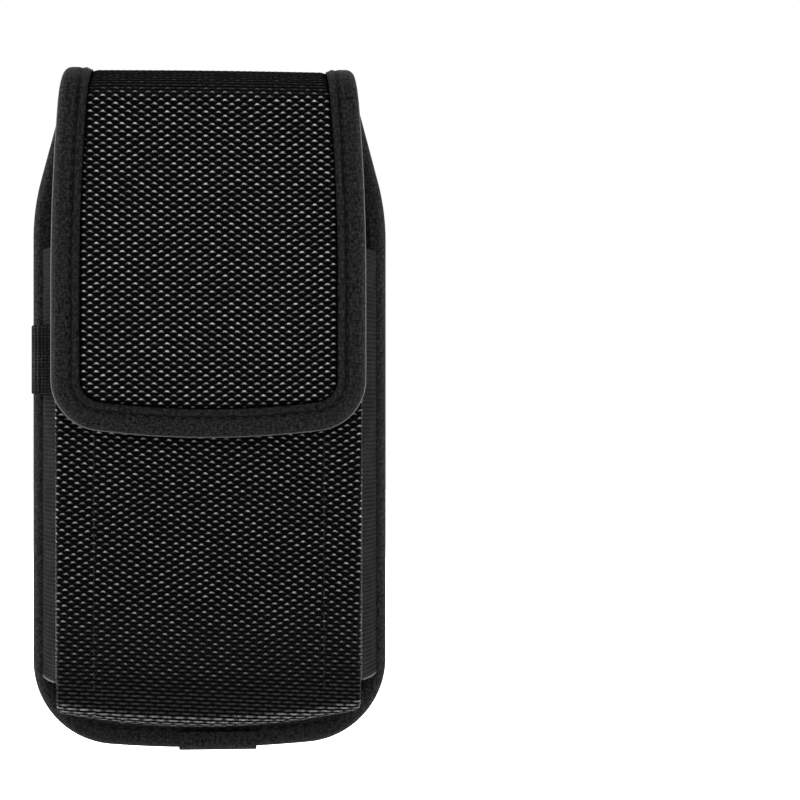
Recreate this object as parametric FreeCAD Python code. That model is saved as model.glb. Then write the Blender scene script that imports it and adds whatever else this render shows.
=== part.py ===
import FreeCAD, Part
import math
import os

V = FreeCAD.Vector

# Phone belt holster: a sewn pocket with a flap, two belt tunnels on its back, a D-ring and a
# small carabiner. Millimetres. While it is built, Z = 0 is the bottom edge, Y = 0 the back
# wall's outer face, -Y the front and X = 0 the middle. FRAME_ORIGIN then becomes the origin.

# Shell: back wall, top fold and flap
HALF_WIDTH = 46.0
HEIGHT = 175.0
BOTTOM_BOW_RADIUS = 300.0
BOTTOM_CORNER_RADIUS = 22.0
SHOULDER_LENGTH = 42.0
SHOULDER_RADIUS = 60.0
SHOULDER_INSET = 9.1
PANEL_THICKNESS = 2.6
LINING_THICKNESS = 0.5
ROOF_RISE = 9.5
ROOF_SIDE_RADIUS = 7.5
FOLD_GAP = 0.3

# Flap
FLAP_INSET = 6.5
FLAP_LENGTH = 93.5
FLAP_BOW_RADIUS = 220.0
FLAP_CORNER_RADIUS = 13.0
FLAP_TAPER_LENGTH = 55.0

# Edge binding tape
TAPE_THICKNESS = 0.9
TAPE_WIDTH = 7.2
TAPE_EDGE_RADIUS = 1.5
LINING_MARGIN = 0.2

# Pocket
POCKET_DEPTH = 15.0
FRONT_THICKNESS = 2.2
FRONT_INSET = 6.9
FRONT_FOOT_INSET = 0.7
FRONT_DROP = 37.0
FRONT_BOTTOM = 8.0
FRONT_BOW_RADIUS = 190.0
FRONT_FOLD_RADIUS = 1.8
MOUTH_TAPE = 0.7
MOUTH_TAPE_WIDTH = 8.0
GUSSET_THICKNESS = 1.4
GUSSET_BOTTOM = 17.0
GUSSET_DROP = 8.0
GUSSET_BACK_INSET = 4.0
GUSSET_FRONT_INSET = 1.6

# Hook-and-loop closure, placed from the flap's lower edge
PATCH_THICKNESS = 1.0
PATCH_GAP = 0.3
LOOP_HALF_WIDTH = 25.0
LOOP_RISE = 6.5
LOOP_HEIGHT = 35.0
HOOK_HALF_WIDTH = 22.0
HOOK_RISE = 10.5
HOOK_HEIGHT = 22.0

# Pen loop
PEN_LOOP_BOTTOM = 92.5
PEN_LOOP_HEIGHT = 17.5
PEN_LOOP_THICKNESS = 0.9
PEN_LOOP_PROUD = 0.3
PEN_LOOP_DEPTH = 13.5
PEN_LOOP_BEND = 1.0

# Tape over the binding's ends
BOTTOM_TAB_CENTRE = 1.9
BOTTOM_TAB_HALF_WIDTH = 10.1
BOTTOM_TAB_TOP = 4.5
BOTTOM_TAB_THICKNESS = 0.55

# Belt tunnels
BELT_GAP = 4.4
BELT_BOTTOM = 28.2
BELT_DROP = 38.8
BELT_PANEL_THICKNESS = 1.2
BELT_PANEL_FOOT = 1.2
BELT_PANEL_SLOPE = 10.6
STRAP_THICKNESS = 1.6
STRAP_CENTRE = 1.0
STRAP_INSET = 1.2
STRAP_SEAM = 8.0
STRAP_SLOPE = 15.0

# D-ring and its tab
RING_CENTRE = 0.6
RING_WIRE_RADIUS = 1.15
RING_HALF_WIDTH = 9.4
RING_CORNER_RADIUS = 2.6
RING_ARCH_HEIGHT = 4.6
RING_ARCH_RISE = 11.4
RING_SHOULDER_RADIUS = 13.0
RING_TILT = 34.0
RING_BAR_RISE = 2.3
RING_BAR_CLEARANCE = 0.06
WEBBING_THICKNESS = 0.9
TAB_SIDE_CLEARANCE = 0.1
TAB_SEAM = 7.6
TAB_NECK_RADIUS = 0.8
TAB_COVER_MARGIN = 1.6
TAB_COVER_EDGE_RADIUS = 1.5

# Carabiner
ROD_RADIUS = 1.7
TOP_BEND_RADIUS = 7.1
TOP_BEND_X = -5.5
TOP_BEND_RISE = 4.0
BOTTOM_BEND_X = -1.6
BOTTOM_BEND_RISE = 1.24
CARABINER_TILT = 7.2
TAB_TO_ROD = 0.5
GATE_TOP_X = -9.4
GATE_TOP_Z = -2.84
GATE_LEAN = 7.55
GATE_RADIUS = 1.9
GATE_LENGTH = 22.0
GATE_END_GAP = 0.3
PIVOT_DEPTH = 2.2
TONGUE_THICKNESS = 1.3
TONGUE_HALF_WIDTH = 1.5
FORK_CLEARANCE = 0.1
FORK_DEPTH = 4.7
RIVET_RADIUS = 0.6
PIN_RADIUS = 0.5
PIN_RISE = 1.6
PIN_CLEARANCE = 0.15
BEARING_CLEARANCE = 0.04
LATCH_SLOT = 3.6
LATCH_HEAD_GAP = 0.5
FERRULE_LENGTH = 2.0
SPRING_BORE_RADIUS = 1.15
SPRING_BORE_FLOOR = 2.4
SPRING_RADIUS = 0.75
SPRING_WIRE_RADIUS = 0.18
SPRING_WIRE_SIDES = 6
SPRING_TURNS = 5
PUSHER_TIP_RADIUS = 0.65
PUSHER_GAP = 0.1
PUSHER_NECK = 1.0
PUSHER_HEAD = 1.0

# Places that follow from the sizes above, across the holster
TOP_HALF_WIDTH = HALF_WIDTH - SHOULDER_INSET
FLAP_HALF_WIDTH = HALF_WIDTH - FLAP_INSET
FRONT_HALF_WIDTH = HALF_WIDTH - FRONT_INSET
FRONT_FOOT_HALF_WIDTH = FRONT_HALF_WIDTH - FRONT_FOOT_INSET
GUSSET_BACK_HALF_WIDTH = HALF_WIDTH - GUSSET_BACK_INSET
PEN_LOOP_OUTER = HALF_WIDTH + PEN_LOOP_PROUD
BELT_PANEL_REACH = HALF_WIDTH - TAPE_WIDTH
BELT_PANEL_ROOF_HALF_WIDTH = BELT_PANEL_REACH - BELT_PANEL_FOOT - BELT_PANEL_SLOPE
STRAP_HALF_WIDTH = BELT_PANEL_ROOF_HALF_WIDTH - STRAP_INSET
TAB_HALF_WIDTH = RING_HALF_WIDTH - RING_CORNER_RADIUS - TAB_SIDE_CLEARANCE

# Heights
SHOULDER_START = HEIGHT - SHOULDER_LENGTH
ROOF_SPRING = HEIGHT - ROOF_RISE
FLAP_BOTTOM = HEIGHT - FLAP_LENGTH
FLAP_TAPER_START = HEIGHT - FLAP_TAPER_LENGTH
FRONT_TOP = HEIGHT - FRONT_DROP
GUSSET_TOP = FRONT_TOP - GUSSET_DROP
LOOP_BOTTOM = FLAP_BOTTOM + LOOP_RISE
HOOK_BOTTOM = FLAP_BOTTOM + HOOK_RISE
BELT_TOP = HEIGHT - BELT_DROP
RING_BAR_HEIGHT = BELT_TOP + RING_BAR_RISE
TAB_BOTTOM = BELT_TOP - TAB_SEAM
TOP_BEND_Z = RING_BAR_HEIGHT + TOP_BEND_RISE

# Depths, from the back wall's outer face forwards and then backwards
BACK_INSIDE = -PANEL_THICKNESS
POCKET_BACK = BACK_INSIDE - LINING_THICKNESS
POCKET_FRONT = POCKET_BACK - POCKET_DEPTH
FRONT_INSIDE = POCKET_FRONT - LINING_THICKNESS
FRONT_FACE = FRONT_INSIDE - FRONT_THICKNESS
LOOP_FACE = FRONT_FACE - PATCH_THICKNESS
HOOK_FACE = LOOP_FACE - PATCH_GAP
FLAP_LINING_FACE = HOOK_FACE - PATCH_THICKNESS
FLAP_FACE = FLAP_LINING_FACE - LINING_THICKNESS - PANEL_THICKNESS
TAPE_FRONT = BACK_INSIDE - TAPE_THICKNESS
BELT_PANEL_BACK = BELT_GAP + BELT_PANEL_THICKNESS
BAR_Y = BELT_PANEL_BACK + WEBBING_THICKNESS
TAB_EYE_RADIUS = RING_WIRE_RADIUS + WEBBING_THICKNESS
TOP_BEND_Y = (BAR_Y + TAB_EYE_RADIUS + TAB_TO_ROD + ROD_RADIUS
              - TOP_BEND_RISE * math.sin(math.radians(CARABINER_TILT)))
FRAME_ORIGIN = V(0, BELT_PANEL_BACK + BELT_GAP / 2, (BELT_BOTTOM + BELT_TOP) / 2)

# Depths on the gate, below its top
PIN_DEPTH = GATE_LENGTH - PIN_RISE
LATCH_DEPTH = GATE_LENGTH - LATCH_SLOT
SPRING_BORE_DEPTH = LATCH_DEPTH - SPRING_BORE_FLOOR
NOSE_DEPTH = GATE_LENGTH + 2 * GATE_END_GAP

# Working extents, larger than the part, and the tolerance for telling edges apart
FAR = 80.0
ABOVE = HEIGHT + 25.0
TINY = 1e-6


# Edges and faces
def line(start, end):
    """Straight edge between two points."""
    return Part.makeLine(V(*start), V(*end))


def arc(start, middle, end):
    """Circular edge through three points."""
    return Part.Arc(V(*start), V(*middle), V(*end)).toShape()


def face(edges):
    """Plane face inside a closed run of edges."""
    return Part.Face(Part.Wire(Part.__sortEdges__(edges)))


def mirrored(edges):
    """The same edges on the other side of the plane X = 0."""
    return [edge.mirror(V(0, 0, 0), V(1, 0, 0)) for edge in edges]


def block(low, high):
    """Box between two corners."""
    return Part.makeBox(high[0] - low[0], high[1] - low[1], high[2] - low[2], V(*low))


def bowed_foot(half_width, bottom, bow_radius, corner_radius):
    """Right half of a bowed bottom edge with its round corner, from the middle to the side.

    Returns the two arcs and the height at which the side begins.
    """
    bow_centre = bottom + bow_radius
    corner_x = half_width - corner_radius
    corner_z = bow_centre - math.sqrt((bow_radius - corner_radius) ** 2 - corner_x ** 2)
    meet = math.atan2(corner_x, bow_centre - corner_z)

    def bow(angle):
        return (bow_radius * math.sin(angle), 0, bow_centre - bow_radius * math.cos(angle))

    def corner(angle):
        return (corner_x + corner_radius * math.sin(angle), 0,
                corner_z - corner_radius * math.cos(angle))

    edges = [arc(bow(0), bow(meet / 2), bow(meet)),
             arc(corner(meet), corner((meet + math.pi / 2) / 2), corner(math.pi / 2))]
    return edges, corner_z


def back_outline():
    """Outline of the back wall with its binding, seen from the front, open above the top."""
    edges, side_z = bowed_foot(HALF_WIDTH, 0, BOTTOM_BOW_RADIUS, BOTTOM_CORNER_RADIUS)
    centre_x = HALF_WIDTH - SHOULDER_RADIUS
    reach_x = TOP_HALF_WIDTH - centre_x
    reach_z = HEIGHT - SHOULDER_START
    turn = math.atan2(reach_z, reach_x) - math.acos(SHOULDER_RADIUS / math.hypot(reach_x, reach_z))

    def shoulder(angle):
        return (centre_x + SHOULDER_RADIUS * math.cos(angle), 0,
                SHOULDER_START + SHOULDER_RADIUS * math.sin(angle))

    edges += [line((HALF_WIDTH, 0, side_z), (HALF_WIDTH, 0, SHOULDER_START)),
              arc(shoulder(0), shoulder(turn / 2), shoulder(turn)),
              line(shoulder(turn), (TOP_HALF_WIDTH, 0, HEIGHT)),
              line((TOP_HALF_WIDTH, 0, HEIGHT), (TOP_HALF_WIDTH, 0, ABOVE))]
    return face(edges + mirrored(edges)
                + [line((TOP_HALF_WIDTH, 0, ABOVE), (-TOP_HALF_WIDTH, 0, ABOVE))])


def flap_outline():
    """Outline of the flap with its binding, seen from the front, open above the top."""
    edges, side_z = bowed_foot(FLAP_HALF_WIDTH, FLAP_BOTTOM, FLAP_BOW_RADIUS, FLAP_CORNER_RADIUS)
    taper = FLAP_HALF_WIDTH - TOP_HALF_WIDTH
    rise = HEIGHT - FLAP_TAPER_START
    radius = (rise ** 2 + taper ** 2) / (2 * taper)
    turn = math.asin(rise / radius)

    def side(angle):
        return (FLAP_HALF_WIDTH - radius + radius * math.cos(angle), 0,
                FLAP_TAPER_START + radius * math.sin(angle))

    edges += [line((FLAP_HALF_WIDTH, 0, side_z), (FLAP_HALF_WIDTH, 0, FLAP_TAPER_START)),
              arc(side(0), side(turn / 2), side(turn)),
              line((TOP_HALF_WIDTH, 0, HEIGHT), (TOP_HALF_WIDTH, 0, ABOVE))]
    return face(edges + mirrored(edges)
                + [line((TOP_HALF_WIDTH, 0, ABOVE), (-TOP_HALF_WIDTH, 0, ABOVE))])


def prism(outline, inset, front, back):
    """Outline moved in by inset and given its depth from front to back along Y."""
    shape = outline.makeOffset2D(-inset) if inset else outline
    shape = shape.copy()
    shape.translate(V(0, front, 0))
    return shape.extrude(V(0, back - front, 0))


# Top fold
def roof_curve(depth):
    """Line of the shell in the YZ plane at a depth below its outer face.

    A three-centre arch over the pocket's mouth, then straight down inside the flap.
    """
    half_span = -FLAP_FACE / 2
    crown_radius = ((half_span - ROOF_SIDE_RADIUS) ** 2 + ROOF_RISE ** 2
                    - ROOF_SIDE_RADIUS ** 2) / (2 * (ROOF_RISE - ROOF_SIDE_RADIUS))
    crown_z = ROOF_SPRING + ROOF_RISE - crown_radius
    meet = math.atan2(ROOF_SPRING - crown_z, half_span - ROOF_SIDE_RADIUS)
    small = ROOF_SIDE_RADIUS - depth

    def back_bend(angle):
        return (0, -ROOF_SIDE_RADIUS + small * math.cos(angle),
                ROOF_SPRING + small * math.sin(angle))

    def front_bend(angle):
        return (0, FLAP_FACE + ROOF_SIDE_RADIUS - small * math.cos(angle),
                ROOF_SPRING + small * math.sin(angle))

    crown = (0, -half_span, crown_z + crown_radius - depth)
    foot = (0, FLAP_FACE + depth, 0)
    return [arc(back_bend(0), back_bend(meet / 2), back_bend(meet)),
            arc(back_bend(meet), crown, front_bend(meet)),
            arc(front_bend(meet), front_bend(meet / 2), front_bend(0)),
            line(front_bend(0), foot)]


def roof_shell(outer_depth, inner_depth):
    """Wide sheet that follows the top fold and the flap between two depths."""
    edges = roof_curve(outer_depth) + roof_curve(inner_depth)
    edges.append(line((0, -outer_depth, ROOF_SPRING), (0, -inner_depth, ROOF_SPRING)))
    edges.append(line((0, FLAP_FACE + outer_depth, 0), (0, FLAP_FACE + inner_depth, 0)))
    sheet = face(edges)
    sheet.translate(V(-FAR, 0, 0))
    return sheet.extrude(V(2 * FAR, 0, 0))


def flap_cutter(inset):
    """Solid that trims the wide sheet: the back outline behind the crown, the flap's before it."""
    crown = FLAP_FACE / 2
    behind = prism(back_outline(), inset, crown, FAR)
    before = prism(flap_outline(), inset, FLAP_FACE - FAR, crown)
    return behind.fuse(before)


def flap_layer(outer_depth, inner_depth, inset):
    """One layer of the flap between two depths, moved in from the flap's edge."""
    return roof_shell(outer_depth, inner_depth).common(flap_cutter(inset))


def round_rim(shape, radius, on_rim):
    """Rounds the edges that on_rim picks."""
    return shape.makeFillet(radius, [edge for edge in shape.Edges if on_rim(edge)])


def make_back_panel():
    """Padded back wall, up to the fold."""
    wall = prism(back_outline(), TAPE_THICKNESS, BACK_INSIDE, 0)
    return wall.common(block((-FAR, -FAR, -FAR), (FAR, FAR, ROOF_SPRING - FOLD_GAP)))


def make_back_lining():
    """Lining inside the back wall, within the binding."""
    sheet = prism(back_outline(), TAPE_WIDTH + LINING_MARGIN, POCKET_BACK, BACK_INSIDE)
    return sheet.common(block((-FAR, -FAR, -FAR), (FAR, FAR, ROOF_SPRING - FOLD_GAP)))


def make_back_binding():
    """Tape folded round the back wall's sides and bottom, with a round outer edge."""
    band = prism(back_outline(), 0, TAPE_FRONT, TAPE_THICKNESS)

    def on_rim(edge):
        box = edge.BoundBox
        return box.YLength < TINY and box.ZMin < HEIGHT - TINY

    band = round_rim(band, TAPE_EDGE_RADIUS, on_rim)
    band = band.common(block((-FAR, -FAR, -FAR), (FAR, FAR, ROOF_SPRING - FOLD_GAP)))
    band = band.cut(prism(back_outline(), TAPE_WIDTH, -FAR, FAR))
    return band.cut(prism(back_outline(), TAPE_THICKNESS, BACK_INSIDE, 0))


def make_flap_panel():
    """Padded flap: the roll over the top and the front."""
    return flap_layer(0, PANEL_THICKNESS, TAPE_THICKNESS)


def make_flap_lining():
    """Lining under the flap, within its binding."""
    return flap_layer(PANEL_THICKNESS, PANEL_THICKNESS + LINING_THICKNESS,
                      TAPE_WIDTH + LINING_MARGIN)


def make_flap_binding():
    """Tape folded round the flap's edge, over the top and round the front."""
    front = FLAP_FACE - TAPE_THICKNESS
    back = FLAP_FACE + PANEL_THICKNESS + TAPE_THICKNESS
    drop = prism(flap_outline(), 0, front, back)

    def on_rim(edge):
        box = edge.BoundBox
        return box.YLength < TINY and box.ZMin < HEIGHT - TINY

    drop = round_rim(drop, TAPE_EDGE_RADIUS, on_rim)
    drop = drop.common(block((-FAR, -FAR, -FAR), (FAR, FAR, ROOF_SPRING)))
    over = flap_layer(-TAPE_THICKNESS, PANEL_THICKNESS + TAPE_THICKNESS, 0)
    over = over.common(block((-FAR, -FAR, ROOF_SPRING), (FAR, FAR, FAR + HEIGHT)))
    band = drop.fuse(over).cut(flap_cutter(TAPE_WIDTH))
    return band.cut(flap_layer(0, PANEL_THICKNESS, TAPE_THICKNESS))


# Pocket
def front_fold(bottom):
    """Bowed line across the front wall's foot, lowest at the given height."""
    rise = FRONT_BOW_RADIUS - math.sqrt(FRONT_BOW_RADIUS ** 2 - FRONT_FOOT_HALF_WIDTH ** 2)
    return arc((-FRONT_FOOT_HALF_WIDTH, 0, bottom + rise), (0, 0, bottom),
               (FRONT_FOOT_HALF_WIDTH, 0, bottom + rise))


def front_outline():
    """Outline of the front wall, a little narrower at its foot."""
    fold = front_fold(FRONT_BOTTOM)
    left = fold.valueAt(fold.FirstParameter)
    right = fold.valueAt(fold.LastParameter)
    return face([fold, line(right, (FRONT_HALF_WIDTH, 0, FRONT_TOP)),
                 line((FRONT_HALF_WIDTH, 0, FRONT_TOP), (-FRONT_HALF_WIDTH, 0, FRONT_TOP)),
                 line((-FRONT_HALF_WIDTH, 0, FRONT_TOP), left)])


def make_front_panel():
    """Front wall of the pocket, turned under along a bowed fold as the pocket's bottom."""
    wall = prism(front_outline(), 0, FRONT_FACE, FRONT_INSIDE)
    outer = front_fold(FRONT_BOTTOM)
    inner = front_fold(FRONT_BOTTOM + FRONT_THICKNESS)
    ends = [line(outer.valueAt(at), inner.valueAt(at))
            for at in (outer.FirstParameter, outer.LastParameter)]
    floor = prism(face([outer, inner] + ends), 0, FRONT_FACE, TAPE_FRONT)
    panel = wall.fuse(floor).removeSplitter()

    def on_fold(edge):
        box = edge.BoundBox
        return (box.YLength < TINY and abs(box.YMin - FRONT_FACE) < TINY
                and box.ZMax < GUSSET_BOTTOM and box.XLength > FRONT_HALF_WIDTH)

    return round_rim(panel, FRONT_FOLD_RADIUS, on_fold)


def make_front_lining():
    """Lining inside the front wall, between its side hems."""
    half = FRONT_FOOT_HALF_WIDTH - GUSSET_FRONT_INSET - GUSSET_THICKNESS
    rise = FRONT_BOW_RADIUS - math.sqrt(FRONT_BOW_RADIUS ** 2 - half ** 2)
    bottom = FRONT_BOTTOM + FRONT_THICKNESS + rise
    return block((-half, FRONT_INSIDE, bottom),
                 (half, POCKET_FRONT, FRONT_TOP - MOUTH_TAPE_WIDTH))


def make_mouth_binding():
    """Tape folded over the front wall's top edge."""
    over = block((-FRONT_HALF_WIDTH, FRONT_FACE - MOUTH_TAPE, FRONT_TOP - MOUTH_TAPE_WIDTH),
                 (FRONT_HALF_WIDTH, FRONT_INSIDE + MOUTH_TAPE, FRONT_TOP + MOUTH_TAPE))

    def on_rim(edge):
        box = edge.BoundBox
        return box.XLength > FRONT_HALF_WIDTH and box.ZMin > FRONT_TOP

    over = round_rim(over, MOUTH_TAPE, on_rim)
    return over.cut(block((-FAR, FRONT_FACE, 0), (FAR, FRONT_INSIDE, FRONT_TOP)))


def gusset_outer(y):
    """Outer X of the right-hand gusset at a depth, on the line from the front edge to the back."""
    front_x = FRONT_HALF_WIDTH - GUSSET_FRONT_INSET + GUSSET_THICKNESS
    back_x = GUSSET_BACK_HALF_WIDTH + GUSSET_THICKNESS
    share = (y - FRONT_INSIDE) / (TAPE_FRONT - FRONT_INSIDE)
    return front_x + (back_x - front_x) * share


def make_gusset(side):
    """Elastic side band from behind the front wall's edge out to the binding."""
    edges = []
    for shift in (0, GUSSET_THICKNESS):
        edges.append(line((gusset_outer(FRONT_INSIDE) - shift, FRONT_INSIDE, GUSSET_BOTTOM),
                          (gusset_outer(TAPE_FRONT) - shift, TAPE_FRONT, GUSSET_BOTTOM)))
    for y in (FRONT_INSIDE, TAPE_FRONT):
        edges.append(line((gusset_outer(y), y, GUSSET_BOTTOM),
                          (gusset_outer(y) - GUSSET_THICKNESS, y, GUSSET_BOTTOM)))
    band = face(edges).extrude(V(0, 0, GUSSET_TOP - GUSSET_BOTTOM))
    return band if side > 0 else band.mirror(V(0, 0, 0), V(1, 0, 0))


def make_pen_loop():
    """Elastic loop on the left: out from the binding, forward and in to the gusset."""
    front = TAPE_FRONT - PEN_LOOP_DEPTH

    def pocket(inset, low_x):
        x = PEN_LOOP_OUTER - inset
        y = front + inset
        radius = PEN_LOOP_BEND + PEN_LOOP_THICKNESS - inset
        diagonal = radius * (1 - math.sqrt(0.5))
        return face([line((low_x, TAPE_FRONT, 0), (x, TAPE_FRONT, 0)),
                     line((x, TAPE_FRONT, 0), (x, y + radius, 0)),
                     arc((x, y + radius, 0), (x - diagonal, y + diagonal, 0), (x - radius, y, 0)),
                     line((x - radius, y, 0), (low_x, y, 0)),
                     line((low_x, y, 0), (low_x, TAPE_FRONT, 0))])

    outside = pocket(0, gusset_outer(FRONT_INSIDE) - GUSSET_THICKNESS)
    inside = pocket(PEN_LOOP_THICKNESS, 0)
    inside.translate(V(0, 0, -FAR))
    loop = outside.extrude(V(0, 0, PEN_LOOP_HEIGHT))
    loop = loop.cut(inside.extrude(V(0, 0, 2 * FAR)))
    loop.translate(V(0, 0, PEN_LOOP_BOTTOM))
    within = [(0, TAPE_FRONT), (gusset_outer(TAPE_FRONT), TAPE_FRONT),
              (gusset_outer(front), front), (0, front)]
    corners = [(x, y, 0) for x, y in within]
    gusset_side = face([line(*pair) for pair in zip(corners, corners[1:] + corners[:1])])
    loop = loop.cut(gusset_side.extrude(V(0, 0, HEIGHT)))
    return loop.mirror(V(0, 0, 0), V(1, 0, 0))


def make_patch(half_width, bottom, height, front, back):
    """Hook or loop patch with its face at front."""
    return block((-half_width, front, bottom), (half_width, back, bottom + height))


def make_bottom_tab(binding, panel):
    """Tape folded over the binding's ends at the bottom."""
    thick = BOTTOM_TAB_THICKNESS
    low_x = BOTTOM_TAB_CENTRE - BOTTOM_TAB_HALF_WIDTH
    high_x = BOTTOM_TAB_CENTRE + BOTTOM_TAB_HALF_WIDTH
    tab = block((low_x, TAPE_FRONT - thick, -thick), (high_x, TAPE_THICKNESS + thick, BOTTOM_TAB_TOP))

    def on_rim(edge):
        box = edge.BoundBox
        return box.ZMax < 0 and box.XLength > BOTTOM_TAB_HALF_WIDTH

    tab = round_rim(tab, TAPE_EDGE_RADIUS, on_rim)
    return tab.cut(binding).cut(panel)


# Belt tunnels
def bend(start, end, offset):
    """Two tangent arcs between level stretches, offset upwards, as (along, up) triples."""
    run = end[0] - start[0]
    rise = end[1] - start[1]
    radius = (run ** 2 + rise ** 2) / (4 * abs(rise))
    up = math.copysign(1, rise)
    ahead = math.copysign(1, run)
    sweep = math.asin(abs(run) / (2 * radius))

    def leaving(angle):
        own = radius - up * offset
        return (start[0] + ahead * own * math.sin(angle),
                start[1] + up * radius - up * own * math.cos(angle))

    def arriving(angle):
        own = radius + up * offset
        return (end[0] - ahead * own * math.sin(angle),
                end[1] - up * radius + up * own * math.cos(angle))

    return [(leaving(0), leaving(sweep / 2), leaving(sweep)),
            (arriving(sweep), arriving(sweep / 2), arriving(0))]


def sheet_profile(stations, thickness, place):
    """Face of a bent sheet: level stretches between stations, joined by tangent bends.

    place turns (along, up) into a point.
    """
    edges = []
    for offset in (0, thickness):
        for start, end in zip(stations, stations[1:]):
            if start[1] == end[1]:
                edges.append(line(place(start[0], start[1] + offset),
                                  place(end[0], end[1] + offset)))
            else:
                edges += [arc(*(place(*point) for point in triple))
                          for triple in bend(start, end, offset)]
    for end in (stations[0], stations[-1]):
        edges.append(line(place(*end), place(end[0], end[1] + thickness)))
    return face(edges)


def make_belt_panel():
    """Wide panel held in the side bindings, standing off the back wall between them."""
    reach = BELT_PANEL_REACH
    roof = BELT_PANEL_ROOF_HALF_WIDTH
    foot = reach - BELT_PANEL_FOOT
    stations = [(-reach, 0), (-foot, 0), (-roof, BELT_GAP), (roof, BELT_GAP), (foot, 0), (reach, 0)]
    profile = sheet_profile(stations, BELT_PANEL_THICKNESS, lambda a, u: (a, u, BELT_BOTTOM))
    panel = profile.extrude(V(0, 0, BELT_TOP - BELT_BOTTOM))
    return panel.common(prism(back_outline(), TAPE_WIDTH, -FAR, FAR))


def make_ring_tab():
    """Webbing folded round the D-ring's bar, both ends in the strap's top seam."""
    lower = BELT_PANEL_BACK
    upper = lower + 2 * WEBBING_THICKNESS
    neck = block((-TAB_HALF_WIDTH, lower, TAB_BOTTOM), (TAB_HALF_WIDTH, upper, RING_BAR_HEIGHT))
    across = V(1, 0, 0)
    bar = V(-TAB_HALF_WIDTH, BAR_Y, RING_BAR_HEIGHT)
    eye = Part.makeCylinder(TAB_EYE_RADIUS, 2 * TAB_HALF_WIDTH, bar, across)
    tab = neck.fuse(eye).removeSplitter()

    def on_neck(edge):
        box = edge.BoundBox
        return (box.ZMin > TAB_BOTTOM + TINY and box.ZLength < TINY
                and box.XLength > TAB_HALF_WIDTH)

    tab = round_rim(tab, TAB_NECK_RADIUS, on_neck)
    hole_radius = RING_WIRE_RADIUS + RING_BAR_CLEARANCE
    tab = tab.cut(Part.makeCylinder(hole_radius, 2 * TAB_HALF_WIDTH, bar, across))
    tab.translate(V(RING_CENTRE, 0, 0))
    return tab


def make_belt_strap(tab):
    """Centre strap sewn down at both ends, raised over the ring's tab."""
    low_x = STRAP_CENTRE - STRAP_HALF_WIDTH
    foot = BELT_PANEL_BACK
    roof = foot + BELT_GAP
    stations = [(BELT_BOTTOM, foot), (BELT_BOTTOM + STRAP_SEAM, foot),
                (BELT_BOTTOM + STRAP_SEAM + STRAP_SLOPE, roof),
                (BELT_TOP - STRAP_SEAM - STRAP_SLOPE, roof),
                (BELT_TOP - STRAP_SEAM, foot), (BELT_TOP, foot)]
    profile = sheet_profile(stations, STRAP_THICKNESS, lambda a, u: (low_x, u, a))
    strap = profile.extrude(V(2 * STRAP_HALF_WIDTH, 0, 0))
    cover_half = TAB_HALF_WIDTH + TAB_COVER_MARGIN
    cover_top = foot + 2 * WEBBING_THICKNESS + STRAP_THICKNESS
    cover = block((RING_CENTRE - cover_half, foot, TAB_BOTTOM - TAB_COVER_MARGIN),
                  (RING_CENTRE + cover_half, cover_top, BELT_TOP))

    def on_cover(edge):
        box = edge.BoundBox
        return box.YMin > cover_top - TINY and box.ZMin < BELT_TOP - TINY

    cover = round_rim(cover, TAB_COVER_EDGE_RADIUS, on_cover)
    return strap.fuse(cover).removeSplitter().cut(tab)


# Bent rod and wire
def rod(edges, radius):
    """Round rod along edges that meet end to end, one pipe for each edge."""
    pipes = []
    for edge in edges:
        start = edge.valueAt(edge.FirstParameter)
        ahead = edge.tangentAt(edge.FirstParameter)
        section = Part.Wire(Part.makeCircle(radius, start, ahead))
        pipes.append(Part.Wire(edge).makePipeShell([section], True, True))
    return pipes[0].multiFuse(pipes[1:]).removeSplitter()


def make_d_ring():
    """Bent wire ring: straight bar, round lower corners, wide shoulders and a tighter crown."""
    half = RING_HALF_WIDTH
    small = RING_CORNER_RADIUS
    arch = RING_ARCH_HEIGHT
    wide = RING_SHOULDER_RADIUS
    excess = wide - RING_ARCH_RISE
    crown_rise = ((wide - half) ** 2 - excess ** 2) / (2 * excess)
    crown = RING_ARCH_RISE - crown_rise
    meet = math.atan2(crown_rise, wide - half)
    diagonal = small * math.sqrt(0.5)

    def shoulder(turn):
        return (half - wide + wide * math.cos(turn), 0, arch + wide * math.sin(turn))

    def top(turn):
        return (crown * math.cos(turn), 0, arch + crown_rise + crown * math.sin(turn))

    side = [line((half - small, 0, 0), (0, 0, 0)),
            arc((half, 0, small), (half - small + diagonal, 0, small - diagonal),
                (half - small, 0, 0)),
            line((half, 0, arch), (half, 0, small)),
            arc(shoulder(meet), shoulder(meet / 2), shoulder(0)),
            arc(top(math.pi / 2), top((meet + math.pi / 2) / 2), top(meet))]
    ring = rod(side + mirrored(side), RING_WIRE_RADIUS)
    ring.rotate(V(0, 0, 0), V(1, 0, 0), -RING_TILT)
    ring.translate(V(RING_CENTRE, BAR_Y, RING_BAR_HEIGHT))
    return ring


# Carabiner, built flat round its top bend's centre with the gate along its own axis
def on_gate_axis(shape):
    """Takes a shape built with the gate's top at the origin to the gate's place on the body."""
    shape.rotate(V(0, 0, 0), V(0, 1, 0), GATE_LEAN)
    shape.translate(V(GATE_TOP_X, 0, GATE_TOP_Z))
    return shape


def seat_carabiner(shape):
    """Takes a shape from the flat carabiner to its place on the ring."""
    shape.rotate(V(0, 0, 0), V(1, 0, 0), CARABINER_TILT)
    shape.translate(V(TOP_BEND_X, TOP_BEND_Y, TOP_BEND_Z))
    return shape


def cross_pin(radius, length, depth):
    """Round pin across the gate, at a depth below the gate's top."""
    return Part.makeCylinder(radius, length, V(0, -length / 2, -depth), V(0, 1, 0))


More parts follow.
